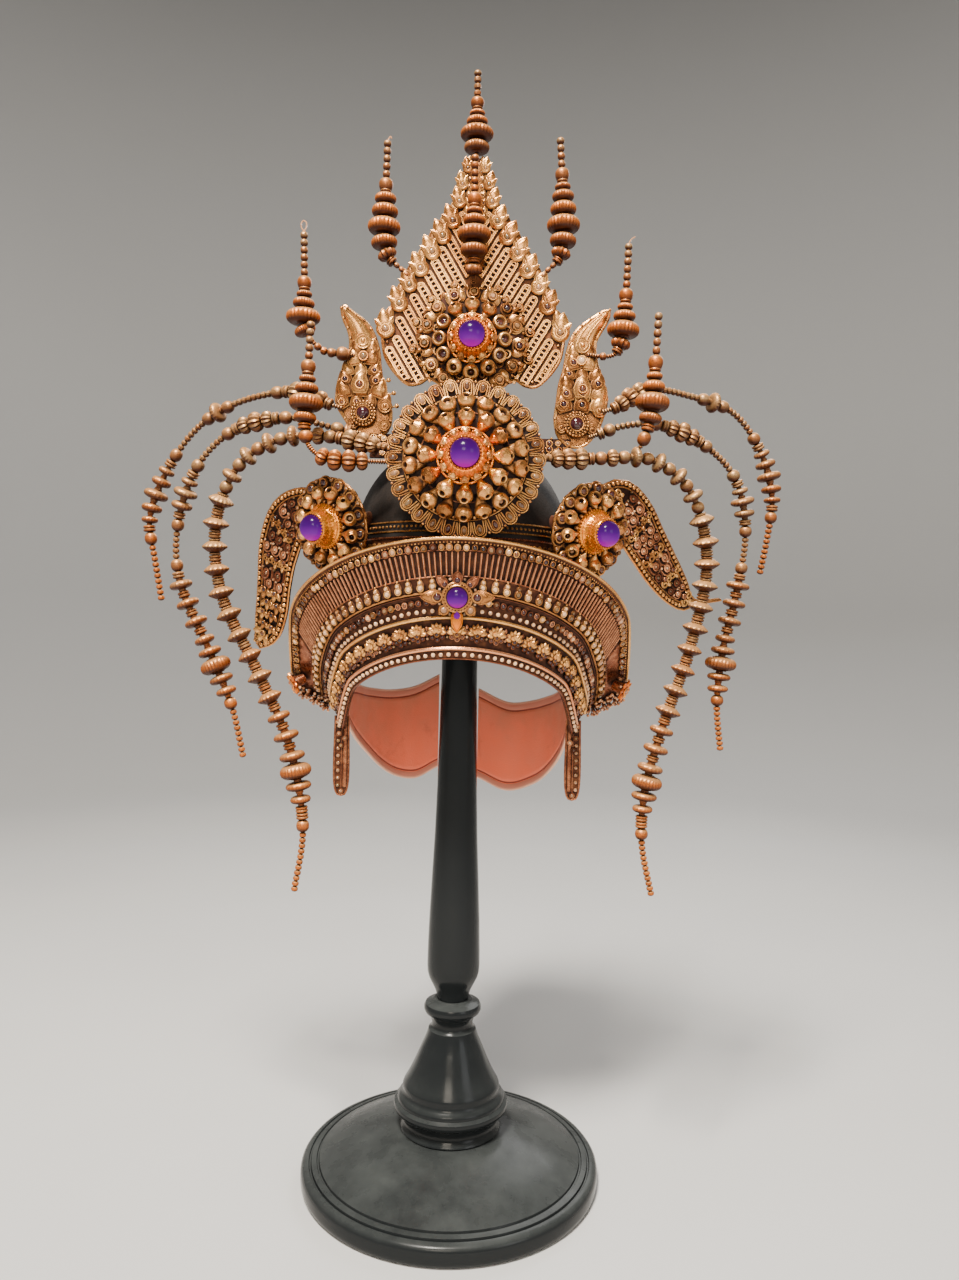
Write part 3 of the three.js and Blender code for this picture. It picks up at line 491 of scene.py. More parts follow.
def floor_material():
    """Pale paper round the stand, greyer further out and up the wall: a painted falloff of light."""
    look = Look("pale_floor")
    far = look.times(look.node("VectorMath", operation="LENGTH", Vector=look.place).outputs["Value"], 0.4)
    pale = look.ramp(look.noise(3, 4), (0.3, (0.79, 0.78, 0.76)), (0.7, (0.83, 0.82, 0.8)))
    # painted falloff of light: pale near the stand, grey further away
    grey = look.mix(look.step(far, 0.25, 0.95), pale, (0.42, 0.42, 0.42))
    return look.finish(Base_Color=grey, Roughness=0.7)


# gilding: deep, body and light shades, painted shade of the recesses, roughness
MATERIALS = {
    GOLD: gilt("antique_gold", (0.14, 0.042, 0.01), (0.6, 0.245, 0.07), (1.0, 0.5, 0.15),
               (0.028, 0.006, 0.001), (0.18, 0.36)),
    COPPER: gilt("copper_gold", (0.07, 0.018, 0.008), (0.29, 0.092, 0.042), (0.94, 0.39, 0.18),
                 (0.02, 0.0035, 0.0005), (0.18, 0.36)),
    BRIGHT: gilt("bright_gold", (0.5, 0.07, 0.004), (1.0, 0.25, 0.015), (1.0, 0.42, 0.045),
                 (0.16, 0.012, 0.001),
                 (0.15, 0.27), 0.85, 0.003),
    DARK: stone("dark_stone", (0.1, (0.006, 0.0015, 0.001)), (0.5, (0.045, 0.01, 0.016)),
                (0.9, (0.18, 0.055, 0.016))),
    PALE: stone("pale_stone", (0.1, (0.07, 0.016, 0.012)), (0.4, (0.2, 0.11, 0.04)),
                (0.65, (0.5, 0.23, 0.11)),
                (0.95, (1.0, 0.6, 0.33))),
    VIOLET: violet_stone(),
    BRONZE: gilt("dark_bronze", (0.006, 0.004, 0.003), (0.014, 0.009, 0.006), (0.03, 0.018, 0.012),
                 (0.003, 0.002, 0.0015), (0.6, 0.8), 0.2, 0.01),
    BEAD: gilt_bead(),
    LACQUER: lacquer(),
    LEATHER: leather(),
    # painted shade: the dark ground under the ornament stands in for the shade in the gaps between its parts
    SHADE_GROUND: gilt("dark_ground", (0.022, 0.004, 0.001), (0.1, 0.025, 0.007), (0.42, 0.15, 0.05),
                (0.01, 0.002, 0.0004),
                (0.45, 0.65), 0.6, 0.006),
}


# ---------------------------------------------------------------- pieces
def piece(name, form, slot, *replaced, sharp=35):
    """Makes an object from a shape, with only the materials that it uses."""
    mesh = bpy.data.meshes.new(name)
    mesh.vertices.add(len(form.points))
    mesh.vertices.foreach_set("co", (form.points * MM).ravel())
    mesh.loops.add(len(form.corners))
    mesh.loops.foreach_set("vertex_index", form.corners)
    mesh.polygons.add(len(form.sizes))
    mesh.polygons.foreach_set("loop_start", np.cumsum(form.sizes) - form.sizes)
    used, order = np.unique(form.slots, return_inverse=True)
    mesh.polygons.foreach_set("material_index", order.astype(np.int32))
    for number in used:
        mesh.materials.append(MATERIALS[number])
    mesh.attributes.new("tone", "FLOAT", "POINT").data.foreach_set("value", form.tones)
    mesh.update(calc_edges=True)
    mesh.shade_smooth()
    mesh.set_sharp_from_angle(angle=math.radians(sharp))
    made = bpy.data.objects.new(name, mesh)
    bpy.context.collection.objects.link(made)
    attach(made, "root")
    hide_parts(*replaced)


class Parts:
    """The shapes of a piece in the making, with random draws of its own."""

    def __init__(self, number=0, random=None):
        self.random = random or np.random.default_rng(SEED + number)
        self.shapes = []

    def add(self, *shapes):
        self.shapes += shapes

    def copy(self, form, places, shades=0.35):
        """The form at each place, each copy with a shade of its own."""
        for place in places:
            self.add(form.moved(place).brighter(self.random.uniform(-shades, shades)))

    def jittered(self, places, shift=0.12, turn=3.0):
        """Hand-set places: each a little off."""
        draw = self.random.uniform
        return [place @ at(*draw(-shift, shift, 2), 0, turn=draw(-turn, turn)) for place in places]

    def strew(self, forms, places, shift=0.12, turn=3.0, shades=0.35):
        """The form, or one of several, set by hand at each place."""
        for place in self.jittered(places, shift, turn):
            form = forms[self.random.integers(len(forms))] if isinstance(forms, list) else forms
            self.copy(form, [place], shades)

    def piece(self, name, slot, place, *replaced):
        """Makes a piece of the shapes, at its place, and starts the next one."""
        piece(name, joined(*self.shapes).moved(place), slot, *replaced)
        self.shapes = []


# ---------------------------------------------------------------- camera, light and floor
BOWL = {"flat": 1500, "sweep": 1000, "top": 3000, "wall": 30}  # the pale floor rises into a wall all round
VIEW = {"place": (13.5, -668.0, 388.5), "pitch": 1.2, "roll": 1.2, "lens": 27.05}
AIM = (0, 0, 0.45)
# lamps: place, aim, power, size, colour
LAMPS = {
    "key": ((-0.34, -1.05, 2.1), AIM, 94, (0.4, 0.4), (1.0, 0.94, 0.85)),
    "fill": ((1.4, -1.4, 0.8), AIM, 4, (0.7, 0.7), (0.96, 0.97, 1.0)),
    "front": ((-0.15, -1.5, 0.95), (0, 0, 0.62), 8, (0.5, 0.4), (1.0, 0.9, 0.76)),
    "rim": ((0.6, 1.4, 1.5), AIM, 12, (1.0, 1.0), (1, 1, 1)),
}


def placed(name, data, matrix):
    made = bpy.data.objects.new(name, data)
    made.matrix_world = Matrix(matrix.tolist())
    bpy.context.collection.objects.link(made)
    return made


def add_camera():
    data = bpy.data.cameras.new("camera")
    data.sensor_fit = "AUTO"
    data.sensor_width = 36
    data.lens = VIEW["lens"]
    data.clip_start = 0.01
    pitch, roll = math.radians(VIEW["pitch"]), math.radians(VIEW["roll"])
    right = np.array([1.0, 0, 0])
    up = np.array([0, math.sin(pitch), math.cos(pitch)])
    back = np.array([0, -math.cos(pitch), math.sin(pitch)])
    turned_right = math.cos(roll) * right + math.sin(roll) * up
    turned_up = math.cos(roll) * up - math.sin(roll) * right
    place = axes(np.array(VIEW["place"]) * MM, turned_right, turned_up, back)
    bpy.context.scene.camera = placed("camera", data, place)


def add_lamps():
    for name, (place, aim, power, size, colour) in LAMPS.items():
        data = bpy.data.lights.new(name, "AREA")
        data.energy = power
        data.shape = "RECTANGLE"
        data.size, data.size_y = size
        data.color = colour
        z = unit(np.array(place) - np.array(aim))
        x = unit(np.cross((0, 0, 1), z))
        placed(name, data, axes(place, x, np.cross(z, x), z))
    world = bpy.data.worlds.new("studio")
    world.use_nodes = True
    background = world.node_tree.nodes["Background"]
    background.inputs["Color"].default_value = (0.84, 0.88, 0.95, 1)
    background.inputs["Strength"].default_value = 0.06
    bpy.context.scene.world = world


def add_floor():
    wall = BOWL["flat"] + BOWL["sweep"]
    sweep = arc(wall, BOWL["sweep"], -90, 0, 16, BOWL["sweep"], BOWL["flat"])
    top = [(wall, BOWL["top"]), (wall + BOWL["wall"], BOWL["top"]), (wall + BOWL["wall"], -4)]
    bowl = lathe([(0, -4), (0, 0), (BOWL["flat"] / 2, 0), *sweep, *top], 96).at(0, 0, -0.2)
    faces = np.split(bowl.corners, np.cumsum(bowl.sizes)[:-1])
    data = bpy.data.meshes.new("floor")
    data.from_pydata((bowl.points * MM).tolist(), [], [face.tolist() for face in faces])
    data.shade_smooth()
    data.materials.append(floor_material())
    floor = placed("floor", data, np.eye(4))


add_camera()
add_lamps()
add_floor()


# ---------------------------------------------------------------- beads
# turned beads: share of the width and share of the radius (mirrored unless it goes on to the end), then
# the number of segments, ribs and their depth
BEAD_FORMS = {
    "tiny": ([(0, 0.24), (0.08, 0.62), (0.24, 0.92), (0.5, 1)], 10, 0, 0),
    "spacer": ([(0, 0.5), (0.05, 0.84), (0.17, 0.98), (0.34, 1), (0.46, 0.84)], 14, 0, 0),
    "ball": ([(0, 0.3), (0.03, 0.44), (0.09, 0.64), (0.18, 0.82), (0.32, 0.96), (0.5, 1)], 14, 0, 0),
    "flat": ([(0, 0.3), (0.17, 0.32), (0.19, 0.56), (0.24, 0.78), (0.32, 0.92), (0.43, 0.99), (0.5, 1)], 40,
             20, 0.05),
    "melon": ([(0, 0.36), (0.05, 0.62), (0.2, 0.87), (0.4, 0.99), (0.5, 1)], 48, 12, 0.15),
    "bicone": ([(0, 0.32), (0.03, 0.44), (0.1, 0.46), (0.13, 0.38), (0.2, 0.56), (0.34, 0.82), (0.45, 0.98),
                (0.5, 1)], 40, 20, 0.07),
    "egg": ([(0, 0.5), (0.03, 0.72), (0.12, 0.8), (0.18, 0.74), (0.26, 0.86), (0.42, 0.97), (0.58, 1),
             (0.74, 0.95),
             (0.88, 0.78), (0.96, 0.52), (1, 0.3)], 20, 0, 0),
    "disc": ([(0, 0.4), (0.05, 0.44), (0.08, 0.66), (0.16, 0.82), (0.28, 0.94), (0.42, 0.995), (0.55, 1),
              (0.7, 0.96), (0.83, 0.84), (0.92, 0.67), (0.95, 0.44), (1, 0.4)], 56, 28, 0.05),
}
# kinds of bead on the strings and spires: form, radius, width along the thread
BEADS = {
    "thread": ("tiny", 1.5, 1.5), "pip": ("tiny", 1.7, 4.2), "tiny": ("tiny", 2.25, 3.4),
    "pearl": ("tiny", 2.45, 4.7),
    "spacer": ("spacer", 4, 4.2), "washer": ("spacer", 3.5, 3.6), "ball": ("ball", 4.1, 8),
    "cap": ("ball", 2.5, 4.2),
    "egg": ("egg", 4.4, 9.2), "stemBall": ("egg", 4.5, 8.8), "stemBead": ("egg", 2.9, 5.6),
    "melon": ("melon", 5.6, 7), "wideMelon": ("melon", 6.6, 8.4), "foot": ("melon", 6.3, 6.6),
    "disc5": ("flat", 5.4, 6.4), "disc6": ("flat", 6.6, 8), "disc7": ("flat", 7.6, 8.2),
    "disc8": ("flat", 8.2, 8.8),
    "disc10": ("disc", 10.1, 10), "collar": ("disc", 4.9, 4.6), "waist": ("disc", 6.8, 6.8),
    "wheel": ("disc", 8.2, 8.6), "belly": ("disc", 10.3, 10.4), "bicone": ("bicone", 8.1, 10),
}
OUTER_STRING = """
    thread*4 spacer melon wideMelon*2 spacer ball tiny*8 ball disc6 ball tiny*7 ball
    spacer disc5 disc6 disc8 disc6 disc5 spacer ball tiny*10"""
MIDDLE_STRING = """
    thread*4 spacer ball tiny*7 ball spacer melon wideMelon melon spacer ball tiny*6 ball
    spacer disc5 disc7 disc6 spacer ball tiny*5 ball spacer disc7 spacer disc7 spacer disc7 spacer
    disc6 disc7 disc10 disc7 disc6 ball tiny*9"""
INNER_STRING = f"""
    tiny*4 melon wideMelon*2 spacer ball melon {"ball disc6 " * 4} ball {"bicone spacer " * 10}
    disc7 spacer disc8 spacer disc8 disc10 disc8 disc6 spacer*2 ball tiny*11"""
# the bead strings, from the crown to the hanging end: beads and route
STRINGS = {
    "string_outer_left": (OUTER_STRING, [
        (-75, -65.6, 518.5), (-84, -66, 521), (-95, -62, 527), (-112, -57, 530), (-151, -41, 524),
        (-181, -25, 508), (-203, -20, 475), (-210, -20, 450), (-206, -20, 425), (-201, -20, 397)]),
    "string_middle_left": (MIDDLE_STRING, [
        (-63, -65.2, 503.5), (-70, -66, 504), (-85, -68, 507), (-106, -66, 512), (-143, -57, 506),
        (-169, -48, 485), (-184, -41, 448), (-184, -38, 412), (-164, -38, 366), (-148, -38, 328),
        (-140, -38, 295)]),
    "string_inner_left": (INNER_STRING, [
        (-37, -95, 488), (-44, -94, 489.5), (-57, -86, 493), (-81, -80, 498), (-108, -75, 498),
        (-137, -66, 484), (-154, -59, 450), (-152, -56, 404), (-129, -55, 355), (-107, -55, 307),
        (-97, -55, 252), (-102, -55, 212)]),
    "string_outer_right": (OUTER_STRING, [
        (87, -65.9, 519.5), (96, -66, 522.5), (106, -61, 531), (121, -54, 537), (142, -46, 536),
        (179, -29, 528), (200, -21, 503), (208, -20, 474), (205, -20, 445), (201, -20, 423)]),
    "string_middle_right": (MIDDLE_STRING, [
        (79, -65.2, 503.5), (86, -66, 506), (100, -66, 511), (124, -62, 513), (153, -54, 503),
        (176, -46, 483), (185, -41, 450), (181, -38, 410), (173, -38, 372), (170, -38, 337),
        (173, -38, 306)]),
    "string_inner_right": (INNER_STRING, [
        (42, -95, 485), (50, -93, 485.5), (67, -86, 486.5), (91, -83, 488), (116, -77, 489),
        (142, -69, 472), (156, -60, 430), (148, -55, 374), (132, -55, 324), (121, -55, 280),
        (120, -55, 248), (127, -55, 214)]),
}
# the bead spires, from the foot to the tip: beads and route
SPIRES = {
    "spire_top": ("thread*2 wheel belly waist collar egg pearl*3 cap", [
        (5.3, -50.5, 681.8), (5.2, -51, 709), (5, -52, 736)]),
    "spire_front": ("thread*4 melon washer wheel belly waist collar egg pearl*4 cap", [
        (5, -59, 599.2), (5, -64, 604), (5, -66.5, 616), (4.8, -67, 650), (4.6, -67, 676)]),
    "spire_inner_left": ("thread pip*3 washer foot wheel belly wheel waist egg pearl*4 cap", [
        (-35, -53.6, 603.5), (-41, -54, 609.7), (-48, -54, 615), (-51.7, -54, 622), (-51.7, -54, 653),
        (-51, -54, 690)]),
    "spire_inner_right": ("thread pip*3 washer foot wheel belly wheel waist collar egg pearl*3 cap", [
        (47, -53.6, 604.5), (52, -54, 611), (58, -54, 616.5), (60.7, -54, 624), (60.8, -54, 650),
        (58, -54, 694)]),
    "spire_middle_left": (
        "thread*2 stemBall stemBead pearl*2 thread*5 waist belly waist collar egg pearl*6", [
            (-68, -64.5, 551.5), (-77.3, -66, 552.5), (-86.5, -66.5, 553), (-94.5, -67, 559.7),
            (-99.6, -67, 567), (-99.6, -67, 590), (-100.6, -66, 627)]),
    "spire_middle_right": ("thread*5 pearl thread*4 washer foot belly waist collar egg pearl*5 cap", [
        (77, -64.5, 555), (86.7, -66, 553.8), (93.5, -66, 555), (97.6, -66, 562), (99.6, -66, 583),
        (101.1, -66, 624)]),
    "spire_outer_left": (
        "thread*12 melon wideMelon*2 melon thread*6 ball spacer waist belly waist collar egg pearl*4 cap", [
            (-37, -94.2, 481), (-52, -94, 481.3), (-69, -95.5, 481), (-80, -96, 482), (-88, -96, 487),
            (-92.5, -95, 495), (-92.5, -94, 515), (-91.5, -93, 540), (-90.7, -92, 564)]),
    "spire_outer_right": ("thread ball spacer waist belly waist collar egg pearl*4 cap", [
        (108.2, -83, 494.5), (111, -84, 501), (114, -84, 512), (116, -84, 540), (117.6, -84, 576)]),
}
# bare wire ends at the tips, from the last bead: across and up
WIRE_ENDS = {
    "spire_middle_left": [(0, 0), (-1.5, 2.2), (-1.9, 4.6), (-0.6, 6.8), (1.3, 5.6), (1.3, 2.8), (0, 0)],
    "spire_middle_right": [(0, -1), (0.6, 1.2), (2.2, 3.2), (3.8, 4)],
    "spire_inner_left": [(0, -1), (0.5, 1), (1.8, 2.4), (2.4, 1.2)],
}
# tones at the start, middle and end of a run
STRING_TONES = (0.15, 0.25, 0.95)
SPIRE_TONES = (0.4, 0.95, 0.15)
FRONT_TONES = (0.5, 0.95, 0.6)


def bead_form(section, segments, ribs, depth):
    """A bead of radius 1 and width 1 along Z."""
    if section[-1][0] < 1:
        section = section + [(1 - width, radius) for width, radius in reversed(section) if width != 0.5]
    rows = [(0, 0), *[(radius, width) for width, radius in section], (0, 1)]
    return lathe(rows, segments, BEAD, ribs, depth)


def kinds_in(words):
    """The kinds of bead along a run: tiny*8 stands for eight tiny ones."""
    pairs = [word.partition("*") for word in words.split()]
    return [kind for kind, _, count in pairs for _ in range(int(count or 1))]


def add_run(parts, words, route, tones):
    """Beads threaded on a wire, stretched evenly to its length."""
    path, length = smooth_path(route, 240)
    along = np.linspace(0, length, len(path))
    parts.add(tube(path[::3], 0.6, 6, BRONZE))
    kinds = kinds_in(words)
    stretch = length / sum(BEADS[kind][2] for kind in kinds)
    draw = parts.random.uniform
    stop = 0.0
    for kind in kinds:
        form, radius, width = BEADS[kind]
        start, stop = stop, stop + width * stretch
        low, high = between([start, stop], along, path)
        z = unit(high - low)
        x = unit(np.cross(z, (0.3, 1, 0.2)))
        spin = at(turn=draw(0, 360))
        radius *= 1 + draw(-0.03, 0.03)
        place = axes(low, x, np.cross(z, x), z, (radius, radius, np.linalg.norm(high - low)))
        tone = np.interp((start + stop) / 2 / length, (0, 0.5, 1), tones) + draw(-0.14, 0.14)
        parts.add(BEAD_SHAPES[form].moved(place @ spin).toned(np.clip(tone, 0, 1)))


def add_beads():
    parts = Parts(0)
    for name, (words, route) in STRINGS.items():
        add_run(parts, words, route, STRING_TONES)
        parts.piece(name, "gilt_bead", at(), *[f"{name}_{k}" for k in (1, 2, 3)])
    for name, (words, route) in SPIRES.items():
        add_run(parts, words, route, FRONT_TONES if name == "spire_front" else SPIRE_TONES)
        if name in WIRE_ENDS:
            tip = np.array(route[-1])
            bend, _ = smooth_path([tip + (across, 0, up) for across, up in WIRE_ENDS[name]], 24)
            parts.add(tube(bend, 0.42, 6, PALE).toned(0.7))
        parts.piece(name + "_beads", "gilt_bead", at(), name)


BEAD_SHAPES = {name: bead_form(*form) for name, form in BEAD_FORMS.items()}
add_beads()


# ---------------------------------------------------------------- the stand, cap, hoop and straps
# turned profiles: radius and height
STAND = {
    "base": (128, [
        (0, 0), (99, 0), (101.5, 0.6), (102.8, 2.2), (103, 4.5), (103, 9), (102.6, 11.2), (101.2, 13),
        (99, 14), (97.6, 14.1), (97, 13.2), (96.2, 13.2), (95.6, 14.6), (93.4, 15.2), (92.2, 15.3),
        (91.6, 14.5), (90.8, 14.6), (90.2, 15.9), (85, 18.3), (78, 21.9), (69, 25.4), (60, 28.4),
        (52, 30.9), (46, 32.9), (41, 34), (0, 34)]),
    "foot": (96, [
        (0, 34.3), (34.4, 34.3), (35, 35.2), (34.4, 36.6), (33, 38), (32.3, 40.2), (32.2, 42.6), (33, 45),
        (35.6, 46.7), (38.2, 48), (39.6, 49.6), (40, 51.2), (39.4, 53), (37.9, 54), (37.1, 54.6),
        (37.2, 55.8), (36.5, 57.4), (35, 59), (33.8, 60.6), (33.4, 62.6), (33.7, 64.2), (33, 66),
        (31.2, 69), (28.8, 73.4), (26, 79.4), (23.4, 85.6), (20.9, 91.4), (18.6, 96.6), (17.2, 100.6),
        (16.5, 103.2), (15, 104.4), (14.2, 106), (14.4, 108.4), (15.4, 111.4), (17, 113.6), (18.9, 114.9),
        (19.8, 116.8), (19.9, 119), (18.9, 121), (16.8, 122), (14.6, 122.6), (13, 124), (0, 124)]),
    "pole": (72, [
        (0, 124.3), (11, 124.3), (11.3, 127), (12.6, 131), (15, 135.6), (17, 139.6), (18, 143.4),
        (18.3, 148), (18.2, 158), (17.6, 179), (16.4, 206), (14.9, 238), (13.8, 272), (13, 310),
        (12.4, 350), (12.1, 420), (12, 503), (0, 503.6)]),
}
CAP = {"width": 77.5, "rim": 365, "slope": -0.074, "shoulder": 400, "height": 108, "power": 2.6, "wall": 1.8}
OVAL = (1, 94.5 / 77.5, 1)  # the cap and hoop are longer than they are wide
HOOP = {"low": 420.8, "high": 437.2, "radius": 78.9, "wire": 0.75, "sheet": 0.6}


def add_stand():
    for word, (segments, rows) in STAND.items():
        piece(f"turned_{word}", lathe(rows, segments, LACQUER), "black_lacquer", f"stand_{word}")


def oval(form):
    return replace(form, points=form.points * OVAL)


def cap_radius(z):
    rise = max(0.0, z - CAP["shoulder"]) / CAP["height"]
    return CAP["width"] * max(0.0, 1 - rise ** CAP["power"]) ** (1 / CAP["power"])


def add_cap():
    top = CAP["shoulder"] + CAP["height"]
    heights = [CAP["rim"], 372, 382, 392, *np.linspace(CAP["shoulder"], top - 3, 22), top - 1, top - 0.2]
    outside = [*[(cap_radius(z), z) for z in heights], (0, top)]
    inside = []
    for radius, z in outside:
        rise = max(0, (z - CAP["shoulder"]) / CAP["height"])
        inside.append((max(0, radius - CAP["wall"]), z - 1.6 * rise))
    shell = oval(lathe([*outside, *inside[::-1], outside[0]], 96, BRONZE))
    fade = np.clip((CAP["shoulder"] - shell.points[:, 2]) / (CAP["shoulder"] - CAP["rim"]), 0, 1)
    shell.points[:, 2] += fade * CAP["slope"] * shell.points[:, 1]
    edge = circle(CAP["width"] - 0.9, 96, CAP["rim"]) * OVAL
    edge[:, 2] += CAP["slope"] * edge[:, 1]
    trim = [ring(cap_radius(z) + 0.2, 0.55, 96, 6, z) for z in (441.5, 447.5)]
    trim += [ball(0.95, 7, 4).at(*point) for point in circle(cap_radius(444.5) + 0.3, 150, 444.5)]
    form = joined(shell, tube(edge, 1.3, 8, COPPER, closed=True), oval(joined(*trim)).brighter(0.3))
    piece("cap", form, "dark_bronze", "cap_shell")


def add_hoop():
    parts = Parts(0)
    low, high, radius = HOOP["low"], HOOP["high"], HOOP["radius"]
    for height, reach, wire in (
        (low, radius, HOOP["wire"]), (high, radius, HOOP["wire"]), ((low + high) / 2, radius + 0.1, 0.4),
    ):
        parts.add(ring(reach, wire, 120, 6, height, COPPER))
    inner, outer = radius - 1, radius - 1 + HOOP["sheet"]
    parts.add(lathe([(inner, low), (outer, low), (outer, high), (inner, high), (inner, low)], 120, SHADE_GROUND))
    for height in (low + 4.1, high - 4.1):
        parts.copy(ball(1.5, 8, 4), [at(*point) for point in circle(radius, 112, height)])
    piece("hoop", oval(joined(*parts.shapes)), "copper_gold", "cap_hoop")


STRAP = {"width": 76.6, "length": 93.6}
# the upper and lower edge of a strap at angles from the brow
STRAPS = {
    "left": [(88, 342, 314), (102, 341, 303), (118, 337, 287), (138, 334, 268), (152, 336, 263.5),
             (166.7, 345, 271.5)],
    "right": [(88, 340, 314), (102, 340, 297), (118, 334, 277), (134, 328, 263), (151, 325, 255.5),
              (169.7, 334.5, 263.5)],
}
# section across a strap, up to its middle: distance in from the cut edge, half thickness, tone
STRAP_EDGE = [(0, 0.5, 1), (0.3, 0.85, 1), (1.0, 1.0, 0.92), (2.6, 1.05, 0.74), (5.4, 1.0, 0.72),
              (6.1, 0.55, 0), (6.8, 0.5, 0), (7.6, 1.05, 0.45), (10, 1.0, 0.4)]
STRAP_MIDDLE = (1.0, 0.4)


def strap(rows, side):
    path, _ = smooth_path(rows, 72)
    inset, half, tone = np.array(STRAP_EDGE).T
    half, tone = (np.array([*edge, middle, *edge[::-1]]) for edge, middle in zip((half, tone), STRAP_MIDDLE))
    loops = []
    for angle, top, bottom in path:
        rise = np.array([*(bottom + inset), (top + bottom) / 2, *(top - inset)[::-1]])
        height = np.concatenate([rise, rise[::-1]])
        depth = np.concatenate([half, -half[::-1]]) + 0.25 * np.sin(angle * 0.35 + height * 0.05)
        turn = math.radians(angle)
        across, ahead = (STRAP["width"] + depth) * math.sin(turn), (STRAP["length"] + depth) * math.cos(turn)
        loops.append(np.column_stack([side * across, -ahead, height]))
    form = skin(loops, LEATHER, inward=side > 0)
    return replace(form, tones=np.tile([*tone, *tone[::-1]], len(loops)))


def add_straps():
    for word, rows in STRAPS.items():
        piece(f"leather_{word}", strap(rows, SIDE[word]), "leather", f"strap_{word}", sharp=70)


add_stand()
add_cap()
add_hoop()
add_straps()


# ---------------------------------------------------------------- small ornaments, facing up Z
def leaf_outline(length, width, foot=0.15):
    """A pointed leaf with its foot at the origin and its tip up Y."""
    share = np.linspace(0, 1, 6)
    half = width / 2 * np.sin(math.pi * (foot + (1 - foot) * share)) ** 0.85
    right = list(zip(half, length * share))[:-1]
    return [*right, (0, length), *[(-x, y) for x, y in reversed(right)]]


def leaf(length, width, height, slot=GOLD, wire=0.0, foot=0.15):
    """A domed leaf, with a raised edge wire if asked."""
    outline = leaf_outline(length, width, foot)
    form = cushion(outline, height, 3, (0, length * 0.38), height * 0.3, slot)
    return joined(form, outline_wire(outline, wire, height * 0.35, slot=slot)) if wire else form


def bezel(radius, height, sides, stone=DARK, slot=GOLD, cut=False):
    """A round stone, smooth or faceted, held in a rolled rim."""
    cup = lathe([(0, 0), (radius, 0), (radius, height * 0.5), (0, height * 0.5)], sides, slot)
    rim = ring(radius * 0.82, radius * 0.2, sides + 2, 6, height * 0.6, slot)
    low, reach = height * 0.45, radius * 0.72
    if cut:
        rows = [(0, 0), (reach, 0), (reach, height * 0.195), (reach * 0.55, height * 0.65),
                (0, height * 0.65)]
        return joined(cup, rim, lathe(rows, 8, stone).at(0, 0, low))
    return joined(cup, rim, dome(radius * 0.7, height * 0.6, sides, 3, low, stone))


def head(radius, tail, height, share=0.46, lean=-14, stone=DARK, tail_slot=GOLD, ridge=0.5):
    """A cup with a rolled rim round a sunk stone at the origin, on a ridged tail that runs down Y."""
    rows = [(0, 0), (0.8, 0), (0.97, 0.2), (1, 0.4), (0.94, 0.64), (share + 0.32, 0.9), (share + 0.18, 0.99),
            (share + 0.06, 0.96), (share, 0.8), (share - 0.06, 0.5), (0, 0.42)]
    cup = lathe(np.array(rows) * (radius, height), 20)
    gem = dome(radius * (share - 0.08), height * 0.28, 10, 3, height * 0.42, stone).toned(0.3)
    outline = [(0, -tail), (radius * 0.75, -radius * 0.35), (0, radius * 0.3),
               (-radius * 0.75, -radius * 0.35)]
    tail_form = cushion(outline, height * ridge, 4, (0, -radius * 0.5), height * 0.2, tail_slot)
    return joined(joined(cup, gem).at(tilt=lean), tail_form)


def petal_tip():
    """A short petal that points at the stone, over the skirt of its cup."""
    return leaf(5.6, 4.6, 2.6, GOLD, 0.4, 0.3).at(turn=180).brighter(0.2)


def hairpin(length, width, wire, height=0.0, slot=GOLD):
    """A wire bent to a U whose round end is at the top of Y."""
    half = width / 2
    bend = np.radians(np.linspace(0, 180, 9))
    path = [(half, 0), (half, (length - half) / 2)]
    path += [(half * math.cos(a), length - half + half * math.sin(a)) for a in bend]
    path += [(-half, (length - half) / 2), (-half, 0)]
    return tube(raised(path, height), wire, 6, slot)


def spiral(radius, turns, wire, steps=20, inner=0.2, start=0.0):
    """A scroll of wire that thins towards its eye."""
    share = np.linspace(0, 1, steps)
    angle = math.radians(start) + TURN * turns * share
    reach = radius * (1 - (1 - inner) * share)
    path = np.column_stack([reach * np.cos(angle), reach * np.sin(angle), 0.3 * share * radius])
    return tube(path, wire * (1 - 0.35 * share), 6)


# ---------------------------------------------------------------- the diadem band
BAND = {
    "low_width": 80.1, "low_length": 97.2, "rim_width": 115.5, "rim_length": 108.5, "low": 366, "rim": 436,
    "low_fall": 50, "rim_fall": 60, "flare": 1.6, "wall": 2.5, "height": 68, "end": 96,
    "temple": (55, 75, 14), "ear": (75, 95, 20, 30),
}
# section of the band from the lower edge to the rim: height, relief of the ground
BAND_SECTION = [
    (0, 0.6), (5, 0.7), (6, -0.4), (20, 0), (22, 0.6), (29, -0.4), (37.5, 0), (39, 0.8), (46, 1), (47, 0),
    (64, -0.2), (65.5, 1), (68, 1),
]
# wires along the band: height, relief, radius, material, tone
BAND_WIRES = [
    (67.6, 1.2, 0.95, GOLD, 0.9), (61.0, 0.9, 0.45, COPPER, 0.4), (46.3, 1.2, 0.5, COPPER, 0.5),
    (37.6, 1.4, 0.7, GOLD, 0.4), (36.2, 0.8, 0.4, COPPER, 0.2), (23, 1.8, 1.2, GOLD, 0.85),
    (5.2, 1.8, 1.2, COPPER, 1.0), (-0.6, -0.6, 0.8, COPPER, 0.3),
]
# stones at the ends of the band: degrees from the brow, height
END_STONES = ((89, 44), (93, 40), (90, 33), (94, 29), (91, 22), (88, 18), (94, 14), (90, 9))
SIDEBURN = {"inner": 73, "outer": 83, "y": -20, "thickness": 3, "top": 322, "tip": 268}


def ease(low, high, value):
    share = np.clip((value - low) / (high - low), 0, 1)
    return share * share * (3 - 2 * share)


